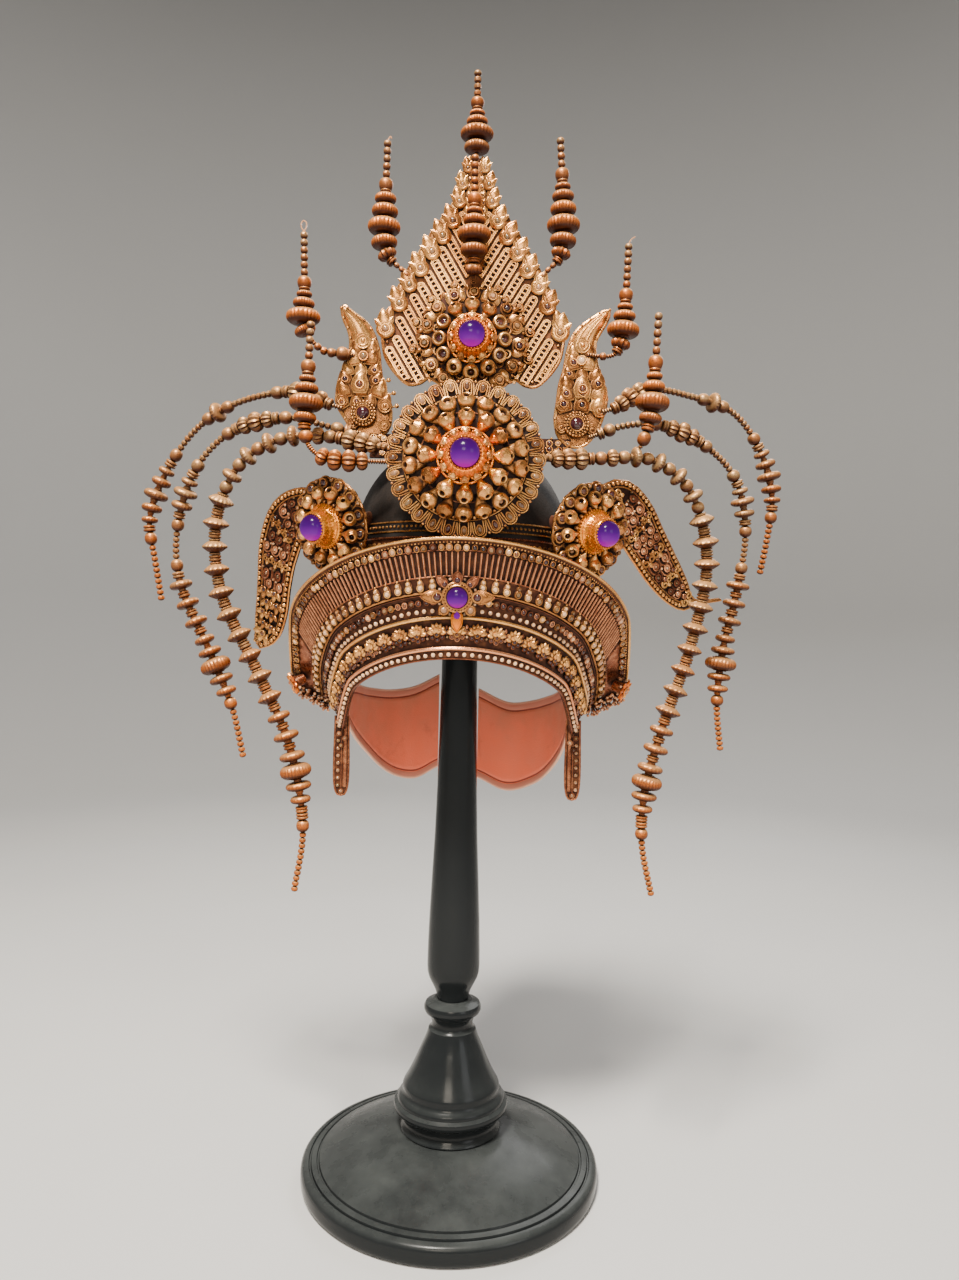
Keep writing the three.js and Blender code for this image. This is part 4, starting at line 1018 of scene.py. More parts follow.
def band_point(angle, height, relief=0.0):
    """A place on the band: degrees from the brow, height in the section, relief outwards."""
    turn = np.radians(angle)
    across, ahead = np.sin(turn), np.cos(turn)
    share = height / BAND["height"]
    flare = np.maximum(0, share) ** BAND["flare"]
    ear_from, ear_to, lift, drop = BAND["ear"]
    temple_from, temple_to, dip = BAND["temple"]
    ear = ease(ear_from, ear_to, np.abs(angle))
    temple = ease(temple_from, temple_to, np.abs(angle))
    low = BAND["low"] - BAND["low_fall"] * (1 - ahead) - dip * temple + lift * ear
    rim = BAND["rim"] - BAND["rim_fall"] * (1 - ahead) - drop * ear
    width = BAND["low_width"] + (BAND["rim_width"] - BAND["low_width"]) * flare + relief
    length = BAND["low_length"] + (BAND["rim_length"] - BAND["low_length"]) * flare + relief
    return np.stack([width * across, -length * ahead, low + (rim - low) * share], axis=-1)


def band_place(angle, height, relief, stretched=True):
    """Local Z out of the band and Y up its section, stretched as the section is if asked."""
    x = band_point(angle + 0.2, height) - band_point(angle - 0.2, height)
    y = band_point(angle, height + 0.5) - band_point(angle, height - 0.5)
    z = unit(np.cross(x, y))
    rise = np.linalg.norm(y) if stretched else 1
    y = unit(y)
    return axes(band_point(angle, height) + z * relief, np.cross(y, z), y, z, (1, rise, 1))


def band_row(height, pitch, relief=0.0, limit=94.0):
    """Places along a register, pitch millimetres apart, the same on both sides of the brow."""
    angles = np.linspace(0, limit, 400)
    along = lengths_along(band_point(angles, height))
    stops = np.interp(np.arange(0, along[-1], pitch), along, angles)
    return [band_place(angle, height, relief) for angle in sorted({*stops.tolist(), *(-stops).tolist()})]


def band_sheet():
    """The thin shaped sheet under all the registers, dark as painted shade in the gaps between them."""
    inside = [(68.4, -1), *[(height, -BAND["wall"]) for height in (66, 46, 22, -0.3)]]
    loop = BAND_SECTION + inside
    angles = np.linspace(-BAND["end"], BAND["end"], 161)
    return skin([np.stack([band_point(a, h, r) for h, r in loop]) for a in angles], SHADE_GROUND, inward=True)


def flute(length, width, height):
    """A half-round rib with rounded ends, its middle at the origin."""
    half, reach = width / 2, length / 2 - width / 2
    top = [(half * math.cos(a), reach + half * math.sin(a)) for a in np.radians(np.arange(0, 181, 36))]
    outline = np.array(top + [(-x, -y) for x, y in top])
    loops = []
    for narrow, z in ((1.0, 0), (1.0, height * 0.4), (0.72, height * 0.85), (0.3, height)):
        ends = outline[:, 1] - np.copysign(half * (1 - narrow), outline[:, 1])
        loops.append(raised(np.column_stack([outline[:, 0] * narrow, ends]), z))
    return skin(loops, COPPER)


def lotus_stamp():
    """An upright bud: a cut stone below, a smaller one on it and a grain at the tip."""
    return joined(
        leaf(7.8, 4.2, 1.3, COPPER), bezel(2.3, 2.4, 10, PALE, cut=True).at(0, 2.2, 0.6).brighter(0.25),
        bezel(1.5, 2.1, 8, PALE, cut=True).at(0, 5.3, 0.6).brighter(0.2), ball(0.8, 8, 5).at(0, 7.5, 0.9),
    )


def rosette_stamp():
    """A bushy flower of the wide register: gilt petals above, dark stones below and between."""
    petal = leaf(5.0, 3.1, 2.0).brighter(0.38)
    parts = [petal.moved(at(turn=turn) @ at(0, 1.5, 0.5, tilt=12)) for turn in range(-84, 85, 28)]
    parts += [petal.moved(at(turn=turn) @ at(0, 0.6, 1.9, tilt=26, size=0.8)) for turn in (-50, -17, 17, 50)]
    parts += [ball(0.6, 7, 4, PALE).moved(at(turn=turn) @ at(0, 5.3, 1.2)) for turn in range(-75, 76, 25)]
    parts.append(bezel(1.7, 1.9, 10).at(0, -0.6, 1.4))
    low = bezel(1.6, 1.7, 9, slot=COPPER)
    parts += [low.at(x, y, 0.5) for x, y in ((-3.0, -2.2), (0, -3.6), (3.0, -2.2))]
    bud = [leaf(3.4, 2.4, 1.4, COPPER).at(5.9, 1.6, 0.2), bezel(1.3, 1.7, 8, slot=COPPER).at(5.9, 0.2, 0.6)]
    return joined(*parts, *bud, ball(0.9, 8, 4, PALE).at(5.9, -2.4, 0.8))


def band_patch(start, stop, low, high, relief, slot):
    """A smooth curved sheet laid on the band, between two angles and two heights."""
    angles, heights = np.linspace(start, stop, 12), np.linspace(low, high, 8)
    sheets = [[band_point(a, h, lift) for a in angles for h in heights] for lift in (relief, relief - 0.8)]
    rows, columns = len(angles), len(heights)
    size = rows * columns
    faces = []
    for i in range(rows - 1):
        for a in range(i * columns, (i + 1) * columns - 1):
            b, c, d = a + columns, a + columns + 1, a + 1
            faces += [[a, b, c, d], [size + d, size + c, size + b, size + a]]
    grid = np.arange(size).reshape(rows, columns)
    rim = [*grid[:, 0], *grid[-1, 1:], *grid[-2::-1, -1], *grid[0, -2:0:-1]]
    faces += [[b, a, size + a, size + b] for a, b in zip(rim, rim[1:] + rim[:1])]
    return shape(np.concatenate(sheets), faces, slot)


def spray(random):
    """A tuft of tiny pale stones on short wires, its foot at the origin and its middle up Z."""
    parts = []
    for _ in range(26):
        place = at(turn=random.uniform(0, 360)) @ at(tilt=random.uniform(8, 80))
        reach = random.uniform(5, 8.6)
        parts.append(tube([(0, 0, 0), (0, 0, reach)], 0.4, 5, COPPER).moved(place))
        stone = bezel(1.1, 1.6, 7, PALE, COPPER, True).toned(random.uniform(0.6, 1))
        parts.append(stone.moved(place @ at(0, 0, reach)))
    return joined(*parts)


def sideburn(side, random):
    """The tongue in front of the ear: a column of beads beside a smooth rod, between edge wires."""
    top, tip = SIDEBURN["top"], SIDEBURN["tip"]
    half, middle = (SIDEBURN["outer"] - SIDEBURN["inner"]) / 2, (SIDEBURN["outer"] + SIDEBURN["inner"]) / 2
    parts = Parts(random=random)
    outline = [(-half + 0.5, tip + 6), (-2, tip), (2, tip), (half - 0.5, tip + 6), (half - 0.3, top),
               (-half + 0.3, top)]
    parts.add(plate(outline, SIDEBURN["thickness"] - 0.6, 0.5))
    right = [(2.2, tip + 0.9), (half - 0.7, tip + 6.5), (half - 0.6, top)]
    edge, _ = smooth_path(raised([*[(-x, z) for x, z in reversed(right)], *right], 2.4), 44)
    parts.add(tube(edge, 0.8, 7, COPPER), tube([(0, top, 2.4), (0, tip + 3, 2.4)], 0.5, 6, COPPER))
    parts.copy(ball(1.35, 9, 6, PALE), [at(side * 2.3, z, 2.5) for z in np.arange(tip + 7, top, 5.0)], 0.2)
    upright = axes((-side * 2.3, tip + 6, 1.6), (1, 0, 0), (0, 0, -1), (0, 1, 0))
    parts.add(rod(1.7, 0, top - tip - 8, 14).moved(upright).toned(0.55))
    spots = ((2.4, top - 4), (-1.8, top - 7), (1.8, top - 12), (-2.2, top - 15), (0.4, top - 20))
    parts.copy(bezel(1.9, 2.0, 8, PALE, COPPER, True), [at(side * x, z, 2.4) for x, z in spots], 0.5)
    parts.add(bezel(2, 1.5, 10, PALE, COPPER).at(0, tip + 3.2, 2.2))
    return joined(*parts.shapes).moved(front_of(side * middle, SIDEBURN["y"] + 1.5))


def add_diadem():
    parts = Parts(1)
    parts.add(band_sheet())
    angles = np.linspace(-95.5, 95.5, 141)
    for height, relief, wire, slot, tone in BAND_WIRES:
        parts.add(tube(band_point(angles, height, relief), wire, 7, slot).toned(tone))
    parts.copy(ball(0.7, 7, 4), band_row(65.7, 2.1, 0.9), 0.3)
    stones = [bezel(2.2, 1.9, 8, PALE, cut=True), bezel(1.9, 1.8, 8), bezel(2.3, 2.1, 8, PALE, COPPER, True),
              bezel(2.0, 2.4, 7, PALE, cut=True)]
    parts.strew(stones, band_row(62.8, 4.9, 0.5), 0.4, shades=0.45)
    ribs = Parts(random=parts.random)
    ribs.copy(flute(14.6, 1.5, 2.0), band_row(53.4, 3.3, -0.1, 78))
    parts.add(joined(*ribs.shapes).toned(0.75))
    parts.strew(lotus_stamp(), band_row(38.8, 7.1, 0.9, 92), 0.3, shades=0.5)
    lumps = [joined(bezel(2.1, 2.1, 7, PALE, cut=True), ball(0.7, 6, 4).at(2.4, 0, 0.8)),
             bezel(2.2, 2.2, 6, PALE, COPPER, True), bezel(1.9, 2.0, 8, slot=COPPER)]
    parts.strew(lumps, band_row(32.4, 4.6, 0.2), 0.3, shades=0.5)
    grain = ball(1.35, 9, 6, PALE).toned(0.9)
    parts.strew(grain, band_row(27.2, 4.9, 0.9), 0.15, shades=0.25)
    parts.strew(rosette_stamp(), band_row(14.2, 11.6, 0.5, 92), 0.25, shades=0.3)
    parts.strew(grain, band_row(1.6, 4.6, 1.3), 0.1, shades=0.25)
    for side in SIDE.values():
        low, high = sorted((side * 80, side * 95))
        parts.add(band_patch(low, high, 48.5, 60, 0.9, COPPER).toned(0.45))
        for angle, height in END_STONES:
            parts.strew(stones, [band_place(side * angle, height, 0.9, False)], 0.6, 30, 0.5)
        tuft = spray(parts.random)
        parts.add(*[tuft.moved(band_place(side * 95.2, height, -0.6, False)) for height in (38, 50, 61)])
    parts.add(sideburn(-1, parts.random), sideburn(1, parts.random))
    parts.piece("diadem", "copper_gold", at(), "diadem_band")


# ---------------------------------------------------------------- round medallions
CENTRE = facing((3, -97, 483))
UPPER = facing((4.8, -56, 564))
SIDES = {word: facing((80.5, -62, 446), 35, 10, side) for word, side in SIDE.items()}
FLORETS = {word: facing((112, -6, 343), 60, 25, side) for word, side in SIDE.items()}


# a medallion's ground disc, dark as painted shade between its parts
def disc(radius, back, thickness, slot=SHADE_GROUND, segments=48):
    rows = [(0, back), (radius, back), (radius + 0.3, back + thickness * 0.5),
            (radius - 0.2, back + thickness),
            (0, back + thickness + 0.6)]
    return lathe(rows, segments, slot)


def granulated(radius, count, grain, height, slot=BRIGHT):
    """A ring of fine grains."""
    return joined(*[ball(grain, 7, 4, slot).moved(place) for place in around(count, radius, height)])


def loop_petal(tone):
    """A double hairpin round a raised oval stone, from radius 37 to the edge of the medallion."""
    wires = joined(hairpin(9.8, 8, 0.52), hairpin(8.4, 5.3, 0.46, 0.9)).brighter(0.26)
    gem = joined(dome(1.9, 1.6, 14, 4, 0.9, PALE).toned(tone), ring(2.0, 0.34, 16, 6, 1.1))
    return joined(wires, gem.at(0, 5.0, 0.6, size=(0.84, 1.36, 1)))


def jewel(radius, height, back):
    """A smooth cabochon on its seat."""
    seat = back + height * 0.18
    rows = [(0, back), (radius, back), (radius, seat), *arc(radius, height * 0.82, 6, 86, 12, seat)]
    return lathe([*rows, (0, back + height)], 48, VIOLET)


def bright_cup(radius, height, back, gem, ribs=26):
    """The bright gilt cup under a stone: a ribbed skirt, a waist and a rolled rim with a ring of grains."""
    rim = gem * 1.28
    rows = [(0, 0), (radius, 0), (radius + 0.1, 0.7), (radius * 0.95, 1.4), (radius * 0.93, 2.0),
            (rim + 1.1, height * 0.5), (rim + 0.5, height * 0.62), (rim + 0.9, height * 0.74),
            (rim + 0.9, height * 0.88), (rim + 0.1, height), (rim - 0.9, height - 0.1), (gem, height - 0.8),
            (0, height - 0.8)]
    cup = lathe(rows, ribs * 4, BRIGHT, ribs, 0.06)
    grains = [granulated(gem * 1.1, 30, 0.62, height + 0.1), granulated(radius * 0.98, 40, 0.8, 1.4)]
    return joined(cup, *grains).at(0, 0, back)


def shaded(forms, shifts):
    return [form.brighter(shift) for form, shift in zip(forms, shifts)]


def add_centre():
    parts = Parts(2)
    parts.add(disc(45.6, 0.4, 2.2).toned(0.05), rod(8, -26.5, 0.5, 40), ring(44.6, 0.8, 104, 7, 0.6),
              ring(36.4, 0.5, 96, 7, 4.4).toned(0.8))
    parts.strew([loop_petal(tone) for tone in (0.12, 0.24, 0.36)], around(28, 37.4, 3.2, -8), 0.15, 2)
    parts.copy(ball(0.9, 7, 4), around(28, 45.6, 2.6, start=180 / 28))
    parts.piece("centre_loops", "antique_gold", CENTRE, "centre_outer_tier")

    parts.add(disc(33.5, 5.3, 2.0).toned(0.1), ring(26.4, 0.6, 72, 6, 7.4, COPPER))
    heads = [head(5.3, 9.5, 6.6, 0.3, -36), head(5.2, 9.5, 7.2, 0.22, -42),
             head(5.3, 9.5, 5.8, 0.4, -28, PALE)]
    parts.strew(shaded(heads, (0.2, 0.0, 0.3)), around(18, 31.0, 6.6, -10), 0.35, 6)
    parts.copy(ball(1.2, 8, 5), around(18, 35.4, 7.0, start=10))
    parts.piece("centre_heads", "antique_gold", CENTRE, "centre_middle_tier")

    parts.add(disc(22.6, 11, 2.0).toned(0.1), ring(16.2, 0.8, 56, 6, 15, BRIGHT))
    heads = [head(5.1, 7.5, 6.8, 0.3, -34, DARK, BRIGHT, 0.7),
             head(5.0, 7.5, 7.4, 0.22, -40, DARK, BRIGHT, 0.7)]
    parts.strew(shaded(heads, (0.2, 0.0)), around(12, 21.2, 12.4, -14), 0.35, 6)
    parts.copy(dome(1.5, 1.6, 8, slot=BRIGHT).toned(0.4), around(24, 15.6, 13.2))
    parts.copy(petal_tip(), around(12, 15.4, 16.2, -10), 0.4)
    parts.piece("centre_crown", "antique_gold", CENTRE, "centre_inner_tier")
    piece("centre_setting", bright_cup(14.3, 7.6, 16.6, 8.3).moved(CENTRE), "bright_gold", "centre_cup")
    piece("centre_stone", jewel(8.3, 8, 24.4).moved(CENTRE), "violet_stone", "centre_gem")


def upper_cell(stone, side):
    """A round bezel in a scroll, with a grain and a leaf beside it."""
    return joined(
        spiral(4.9, 1.1, 0.95, 26, 0.55, 100).at(0, 4.6, 0.2, size=(side, 1, 1)),
        bezel(3.0, 3.0, 12, stone, cut=stone == PALE).at(0, 4.6, 1.0),
        ball(1.1, 8, 5).at(4.6 * side, 7.6, 0.8), leaf(5, 3.2, 1.6).at(-3.2 * side, 6.2, 0.4, turn=30 * side),
    )


def add_upper():
    """The upper medallion: round bezels in double curved rims round a row of heads."""
    parts = Parts(3)
    parts.add(disc(32.4, 0.4, 1.6).toned(0.35), rod(8, -6, 0.6, 32, GOLD))
    parts.strew(leaf(7.5, 4.6, 1.8, wire=0.4).brighter(0.25), around(24, 25.8, 2.0, 4), 0.4, 14, 0.3)
    parts.strew(spiral(3.0, 1.3, 0.8), around(20, 22.6, 2.6), 0.6, 180, 0.3)
    parts.strew([upper_cell(PALE, 1), upper_cell(DARK, -1)], around(15, 25.2, 2.2, -6), 0.5, 12)
    parts.piece("upper_cells", "antique_gold", UPPER, "upper_outer_tier")

    parts.add(disc(20.4, 4.6, 1.8).toned(0.1), ring(15, 0.8, 56, 6, 8.6, BRIGHT))
    low = head(5.1, 8, 5.2, 0.4).brighter(0.35)
    beside, above = shaded([head(4.8, 8, 4.2, 0.56, -8), head(4.7, 8, 6.2, 0.3, -30)], (0.15, 0.15))
    for place, turn in zip(parts.jittered(around(12, 19.8, 6.0, -12), 0.35, 4), range(0, 360, 30)):
        parts.copy(low if 150 <= turn <= 210 else beside if 60 <= turn <= 300 else above, [place], 0.2)
    parts.copy(dome(1.5, 1.6, 8, slot=BRIGHT).toned(0.4), around(22, 14.4, 6.8))
    parts.copy(petal_tip(), around(12, 14.6, 9.8, -10), 0.4)
    parts.piece("upper_heads", "antique_gold", UPPER, "upper_inner_tier")
    piece("upper_setting", bright_cup(13.3, 7.7, 10.1, 7.9).moved(UPPER), "bright_gold", "upper_cup")
    piece("upper_stone", jewel(7.9, 7.5, 17.9).moved(UPPER), "violet_stone", "upper_gem")


SIDE_CUP = [
    (0, 5.2), (14.2, 5.2), (14.3, 6.2), (13.4, 6.9), (13.6, 7.8), (12.6, 8.6), (12.7, 9.4), (11.6, 10.4),
    (11.1, 12), (10.2, 13.6), (9.8, 15.2), (9.6, 16.6), (9.2, 17.2), (0, 17.2),
]


def add_sides():
    for index, (word, place) in enumerate(SIDES.items()):
        parts = Parts(4 + index)
        parts.add(disc(29.6, 0.4, 1.6).toned(0.15), ring(29.4, 0.85, 84, 7, 1.4))
        cell = joined(hairpin(9.4, 11.4, 0.65, 0.5), bezel(3.4, 2.4, 12).at(0, 5.2, 1),
                      bezel(1.5, 1.4, 8, PALE).at(6.2, 6.6, 0.9), ball(0.8, 7, 4).at(3.6, 1.4, 0.8))
        parts.strew(cell, around(14, 21.2, 1.8, -4), 0.2, 3, 0.3)
        cones = [head(4.7, 7.5, 6.4, 0.3, -26), head(4.6, 7.5, 7.0, 0.22, -32),
                 head(4.7, 7.5, 5.8, 0.42, -20, PALE)]
        parts.strew(shaded(cones, (0.3, 0.1, 0.3)), around(12, 19.4, 3.4, -16, 10), 0.35, 5)
        parts.copy(dome(1.5, 2.2, 8), around(12, 14.9, 5.2, start=25))
        parts.piece(f"side_petals_{word}", "antique_gold", place, f"side_tier_{word}")
        cup = [lathe(SIDE_CUP, 96, BRIGHT, 30, 0.03), granulated(13.6, 42, 0.75, 7.2),
               granulated(10.7, 34, 0.65, 12.8),
               granulated(9.5, 30, 0.6, 16.9), ring(9, 0.6, 48, 6, 17.4, BRIGHT),
               granulated(8.5, 28, 0.6, 18)]
        piece(f"side_setting_{word}", joined(*cup).brighter(0.2).moved(place), "bright_gold",
              f"side_cup_{word}")
        piece(f"side_stone_{word}", jewel(7.9, 7.5, 17.3).moved(place), "violet_stone", f"side_gem_{word}")
        stalk = lathe([(0, -6.2), (3.6, -6.2), (4, 0.6), (0, 0.6)], 24, COPPER)
        parts.add(disc(6, 0.4, 1.6, COPPER, 32), stalk)
        parts.copy(leaf(5, 4.2, 1.8, BRIGHT, 0.4, 0.3), around(8, 3.0, 1.4, 12))
        parts.add(bezel(3, 2.4, 12, PALE, BRIGHT).at(0, 0, 2))
        parts.copy(ball(1, 8, 4, PALE), around(8, 7.6, 1.2, start=22.5))
        parts.piece(f"ear_floret_{word}", "antique_gold", FLORETS[word], f"side_floret_{word}")


def add_star():
    """The eight-pointed jewel on the brow."""
    parts = Parts(6)
    place = facing((0, band_point(0.0, 35, 2.4)[1] - 0.3, 402), 0, 10)
    tear = [(0, -4.6), *[(1.9 * math.cos(a),
                          1.9 * math.sin(a)) for a in np.radians(np.linspace(-50, 230, 11))]]
    long_leaf = joined(leaf(14, 7.6, 2.6, wire=0.55).toned(0.3), bezel(3.3, 2.6, 12).at(0, 4, 1.2),
                       ball(0.7, 7, 4, COPPER).at(0, 13.6, 1.2))
    curl = joined(leaf(9.5, 5, 2.4, COPPER, 0.4), bezel(2.1, 1.8, 10, slot=COPPER).at(0, 2.6, 1.4))
    short = joined(leaf(7.8, 6, 2.6, COPPER, 0.45), bezel(2.5, 2.2, 10, slot=COPPER).at(0, 2.8, 1.5))
    lump = joined(bezel(3.2, 2.8, 12, PALE).at(0, 3.4, 0.4), leaf(7, 6.6, 1.8, wire=0.4))
    drop = joined(leaf(13, 6.4, 2.4, BRIGHT, 0.5), cushion(tear, 2.2, 3, (0, 0), slot=VIOLET).at(0, 3.4, 1.6))
    parts.add(disc(8.6, 0.3, 2.4, COPPER, 40), ring(8.6, 0.8, 48, 7, 3.6), ring(6.9, 0.65, 40, 7, 4.5),
              granulated(7.75, 26, 0.6, 4.2, GOLD))
    for angle, form, radius in (
        (0, short, 7.6), (45, curl, 8.2), (-45, curl, 8.2), (90, long_leaf, 8), (-90, long_leaf, 8),
        (135, lump, 7.8), (-135, lump, 7.8), (180, drop, 8),
    ):
        parts.add(form.moved(at(turn=angle) @ at(0, radius, 1.2, tilt=6)))
    parts.copy(ball(0.9, 8, 4, PALE), around(8, 11.2, 2.2, start=22.5))
    parts.piece("brow_star", "antique_gold", place, "front_star")
    piece("brow_stone", jewel(6, 5.6, 4.6).moved(place), "violet_stone", "front_star_gem")


add_diadem()
add_centre()
add_upper()
add_sides()
add_star()


# ---------------------------------------------------------------- ear bands
# middle line of a band, seen from its medallion: across, up, half width
WINGS = {
    "left": [(4, 4, 14), (22, 8, 17), (40, 3, 18), (52, -14, 17.5), (59, -34, 15.5), (65, -54, 14.5),
             (72, -68, 12), (83, -79, 4)],
    "right": [(4, 8, 14), (22, 16, 18.5), (38, 9, 18), (54, -6, 16.5), (70, -21, 15), (86, -34, 12),
              (98, -42, 7.5), (108, -43, 2.4), (134, -40, 1.2)],
}
TAIL = [(98, -42, -1.4), (112, -42.8, -1.4), (134, -40, -1.4)]  # the bare wire at the end of the right band
CELL = {"pitch": 7.8, "width": 9.6, "largest": 11.5, "scrolls_from": 6, "fans_from": 0.62}


def ribbon(rows, steps):
    """Middle line, direction along, direction across and half width at even steps."""
    path, _ = smooth_path(rows, steps)
    along = np.gradient(path[:, :2], axis=0)
    along = along / np.linalg.norm(along, axis=1)[:, None]
    return path[:, :2], along, np.column_stack([-along[:, 1], along[:, 0]]), path[:, 2:]


def scale_stamp(width):
    """A bold scalloped cell of the ear bands: a thick arch round a ring with a knob."""
    arch = hairpin(width * 0.96, width * 0.9, width * 0.085, slot=COPPER)
    eye = joined(ring(width * 0.2, width * 0.09, 18, 7, 0.7, COPPER),
                 dome(width * 0.12, 1.4, 9, 3, 0.4, PALE))
    grains = [ball(width * 0.09, 8, 5, PALE).at(width * 0.34 * side, width * 0.12, 0.7) for side in (-1, 1)]
    return joined(arch, eye.at(0, width * 0.44, 0.2, size=(0.9, 1.15, 1)), *grains).brighter(0.16)


def scroll_stamp(width):
    """A pair of C-scrolls round a dark stone, under a leaf tip."""
    curl = spiral(width * 0.26, 1.15, width * 0.095, 20, 0.4, -90).brighter(0.25)
    pair = [curl.at(side * width * 0.25, width * 0.44, 0.7, size=(side, 1, 1)) for side in (-1, 1)]
    tip = leaf(width * 0.42, width * 0.34, 1.8).brighter(0.4).at(0, width * 0.56, 0.6)
    return joined(*pair, tip, bezel(width * 0.17, 1.8, 10, slot=COPPER).at(0, width * 0.12, 0.8))


def fan_stamp(width):
    """A fan of three leaves over a stone and two grains."""
    petal = leaf(width * 0.55, width * 0.34, 1.8, wire=width * 0.035).brighter(0.25)
    petals = [petal.moved(at(turn=turn) @ at(0, width * 0.24, 0.4, tilt=8)) for turn in (-52, 0, 52)]
    grains = [ball(width * 0.1, 8, 5).at(side * width * 0.3, width * 0.05, 0.6) for side in (-1, 1)]
    return joined(*petals, bezel(width * 0.2, 2.2, 10).at(0, width * 0.16, 0.6), *grains)


def add_cells(parts, word, rows):
    """Rows of cells across the band, from its medallion to its tip."""
    body, along, _, half = ribbon(rows, 400)
    lengths = lengths_along(body)
    row = 0
    for stop in np.arange(1, lengths[-1] - 4, CELL["pitch"]):
        middle, ahead = between(stop, lengths, body), unit(between(stop, lengths, along))
        width = 2 * (np.interp(stop, lengths, half[:, 0]) - 4.6)
        if width < 4:
            continue
        count = max(1, round(width / CELL["width"]))
        cell = width / (count + (0.3 if count > 1 else 0))
        shift = (row % 2 - 0.5) * cell * 0.3 if count > 1 else 0
        size = min(cell, CELL["largest"]) * 1.1
        stamp = scale_stamp(size) if row % 3 < 2 or size < CELL["scrolls_from"] else scroll_stamp(size)
        if word == "left" and stop > CELL["fans_from"] * lengths[-1]:
            stamp = fan_stamp(size)
        for k in range(count):
            spot = middle + np.array([-ahead[1], ahead[0]]) * ((k - (count - 1) / 2) * cell + shift)
            place = axes((*spot, -0.5), (ahead[1], -ahead[0], 0), (*ahead, 0), (0, 0, 1))
            parts.strew(stamp, [place], 0.5, 8, 0.45)
        row += 1


def add_wings():
    for index, (word, rows) in enumerate(WINGS.items()):
        parts = Parts(8 + index)
        middle, _, across, half = ribbon(rows, 60)
        reach = across * (half - 0.6)
        outline = np.concatenate([middle - reach, (middle + reach)[::-1]])
        parts.add(plate(outline, 2.0, 0.3).at(0, 0, -2.6).toned(0.0),
                  outline_wire(outline[::2], 0.85, -0.9, 7))
        body_rows = rows[:-2] if word == "right" else rows
        body, _, across, half = ribbon(body_rows, 400)
        for edge in (-1, 1):
            line = body + across * (edge * (half - 2.6))
            lengths = lengths_along(line)
            spots = between(np.arange(1.5, lengths[-1] - 1, 3.7), lengths, line)
            parts.strew(ball(1.55, 9, 6).toned(0.65), [at(x, y, 0.1) for x, y in spots], 0.15, shades=0.25)
            parts.add(tube(raised((body + across * (edge * (half - 4.9)))[::8], -0.3), 0.55, 6))
        add_cells(parts, word, body_rows)
        if word == "right":
            parts.add(tube(TAIL, [2.2, 1.6, 0.7], 10))
        side = SIDE[word]
        band = joined(*parts.shapes).at(size=(side, 1, 1))
        form = joined(band, disc(21, -2.6, 1.6, SHADE_GROUND, 64), rod(6.5, -32, -1.5).at(-side * 11))
        piece(f"ear_band_{word}", form.moved(SIDES[word]), "antique_gold", f"wing_{word}")


# ---------------------------------------------------------------- the tall panel
PANEL = {"x": 5.3, "back": -49, "thickness": 2.6, "low": 579, "high": 674, "low_half": 60, "high_half": 9,
         "waist": 1.8}
PANEL_LOBE = [(58, 562), (56, 553), (49.2, 543), (41, 536.4), (34, 537.3), (28.5, 540.5), (21, 537),
              (13, 531)]
# bezels of the edge: distance from the middle, height, radius, outward lean
PANEL_BEZELS = [
    (55.6, 572, 6.1, 8), (47.2, 588.2, 5.6, 22), (41.0, 600.4, 5.2, 25), (34.0, 610.6, 5.5, 25),
    (27.2, 621.4, 5.5, 28), (20.4, 631.4, 5.5, 28), (14.2, 641.0, 5.3, 24), (10.4, 653, 4.6, 18),
    (8.4, 664, 4.0, 14), (5.6, 674, 3.3, 10),
]
RAIL = {"slope": 59, "wire": 0.75, "width": 4.9, "pitch": 7.55, "first": -50, "count": 19, "bar": 0.72,
        "bar_pitch": 3.1}
UPPER_MIDDLE = (-0.5, 564)  # the middle of the upper medallion, seen from the panel's middle line
RAISED = at(0, 0, PANEL["thickness"])


def panel_half(height):
    share = (height - PANEL["low"]) / (PANEL["high"] - PANEL["low"])
    straight = PANEL["low_half"] + (PANEL["high_half"] - PANEL["low_half"]) * share
    return straight - PANEL["waist"] * 4 * share * (1 - share)


def lobe_low(across):
    return np.interp(across, *zip(*PANEL_LOBE[::-1]))


def lobe_half(height):
    """Outer edge of the lower lobes."""
    half, z = zip(*PANEL_LOBE[3::-1])
    return np.interp(height, z, half)


def shield(radius, tone):
    """A smooth dish round a small sunk stone, crowned by three points."""
    rows = [(0, 0), (0.94, 0), (1, 0.8), (0.88, 1.7), (0.68, 2.1), (0.5, 1.8), (0.42, 1.3), (0, 1.2)]
    parts = [lathe(np.array(rows) * (radius, 1), 22),
             dome(radius * 0.38, radius * 0.22, 12, 3, 1.0, PALE).toned(tone),
             ring(radius * 0.46, radius * 0.07, 20, 6, 1.9)]
    for turn, length, width in ((0, 1.95, 1.5), (42, 1.365, 0.8), (-42, 1.365, 0.8)):
        point = leaf(radius * length, radius * width, 2.0, GOLD, 0.5, 0.35)
        parts.append(point.moved(at(turn=turn) @ at(0, radius * 0.1, 0.2, tilt=4)))
    return joined(*parts)


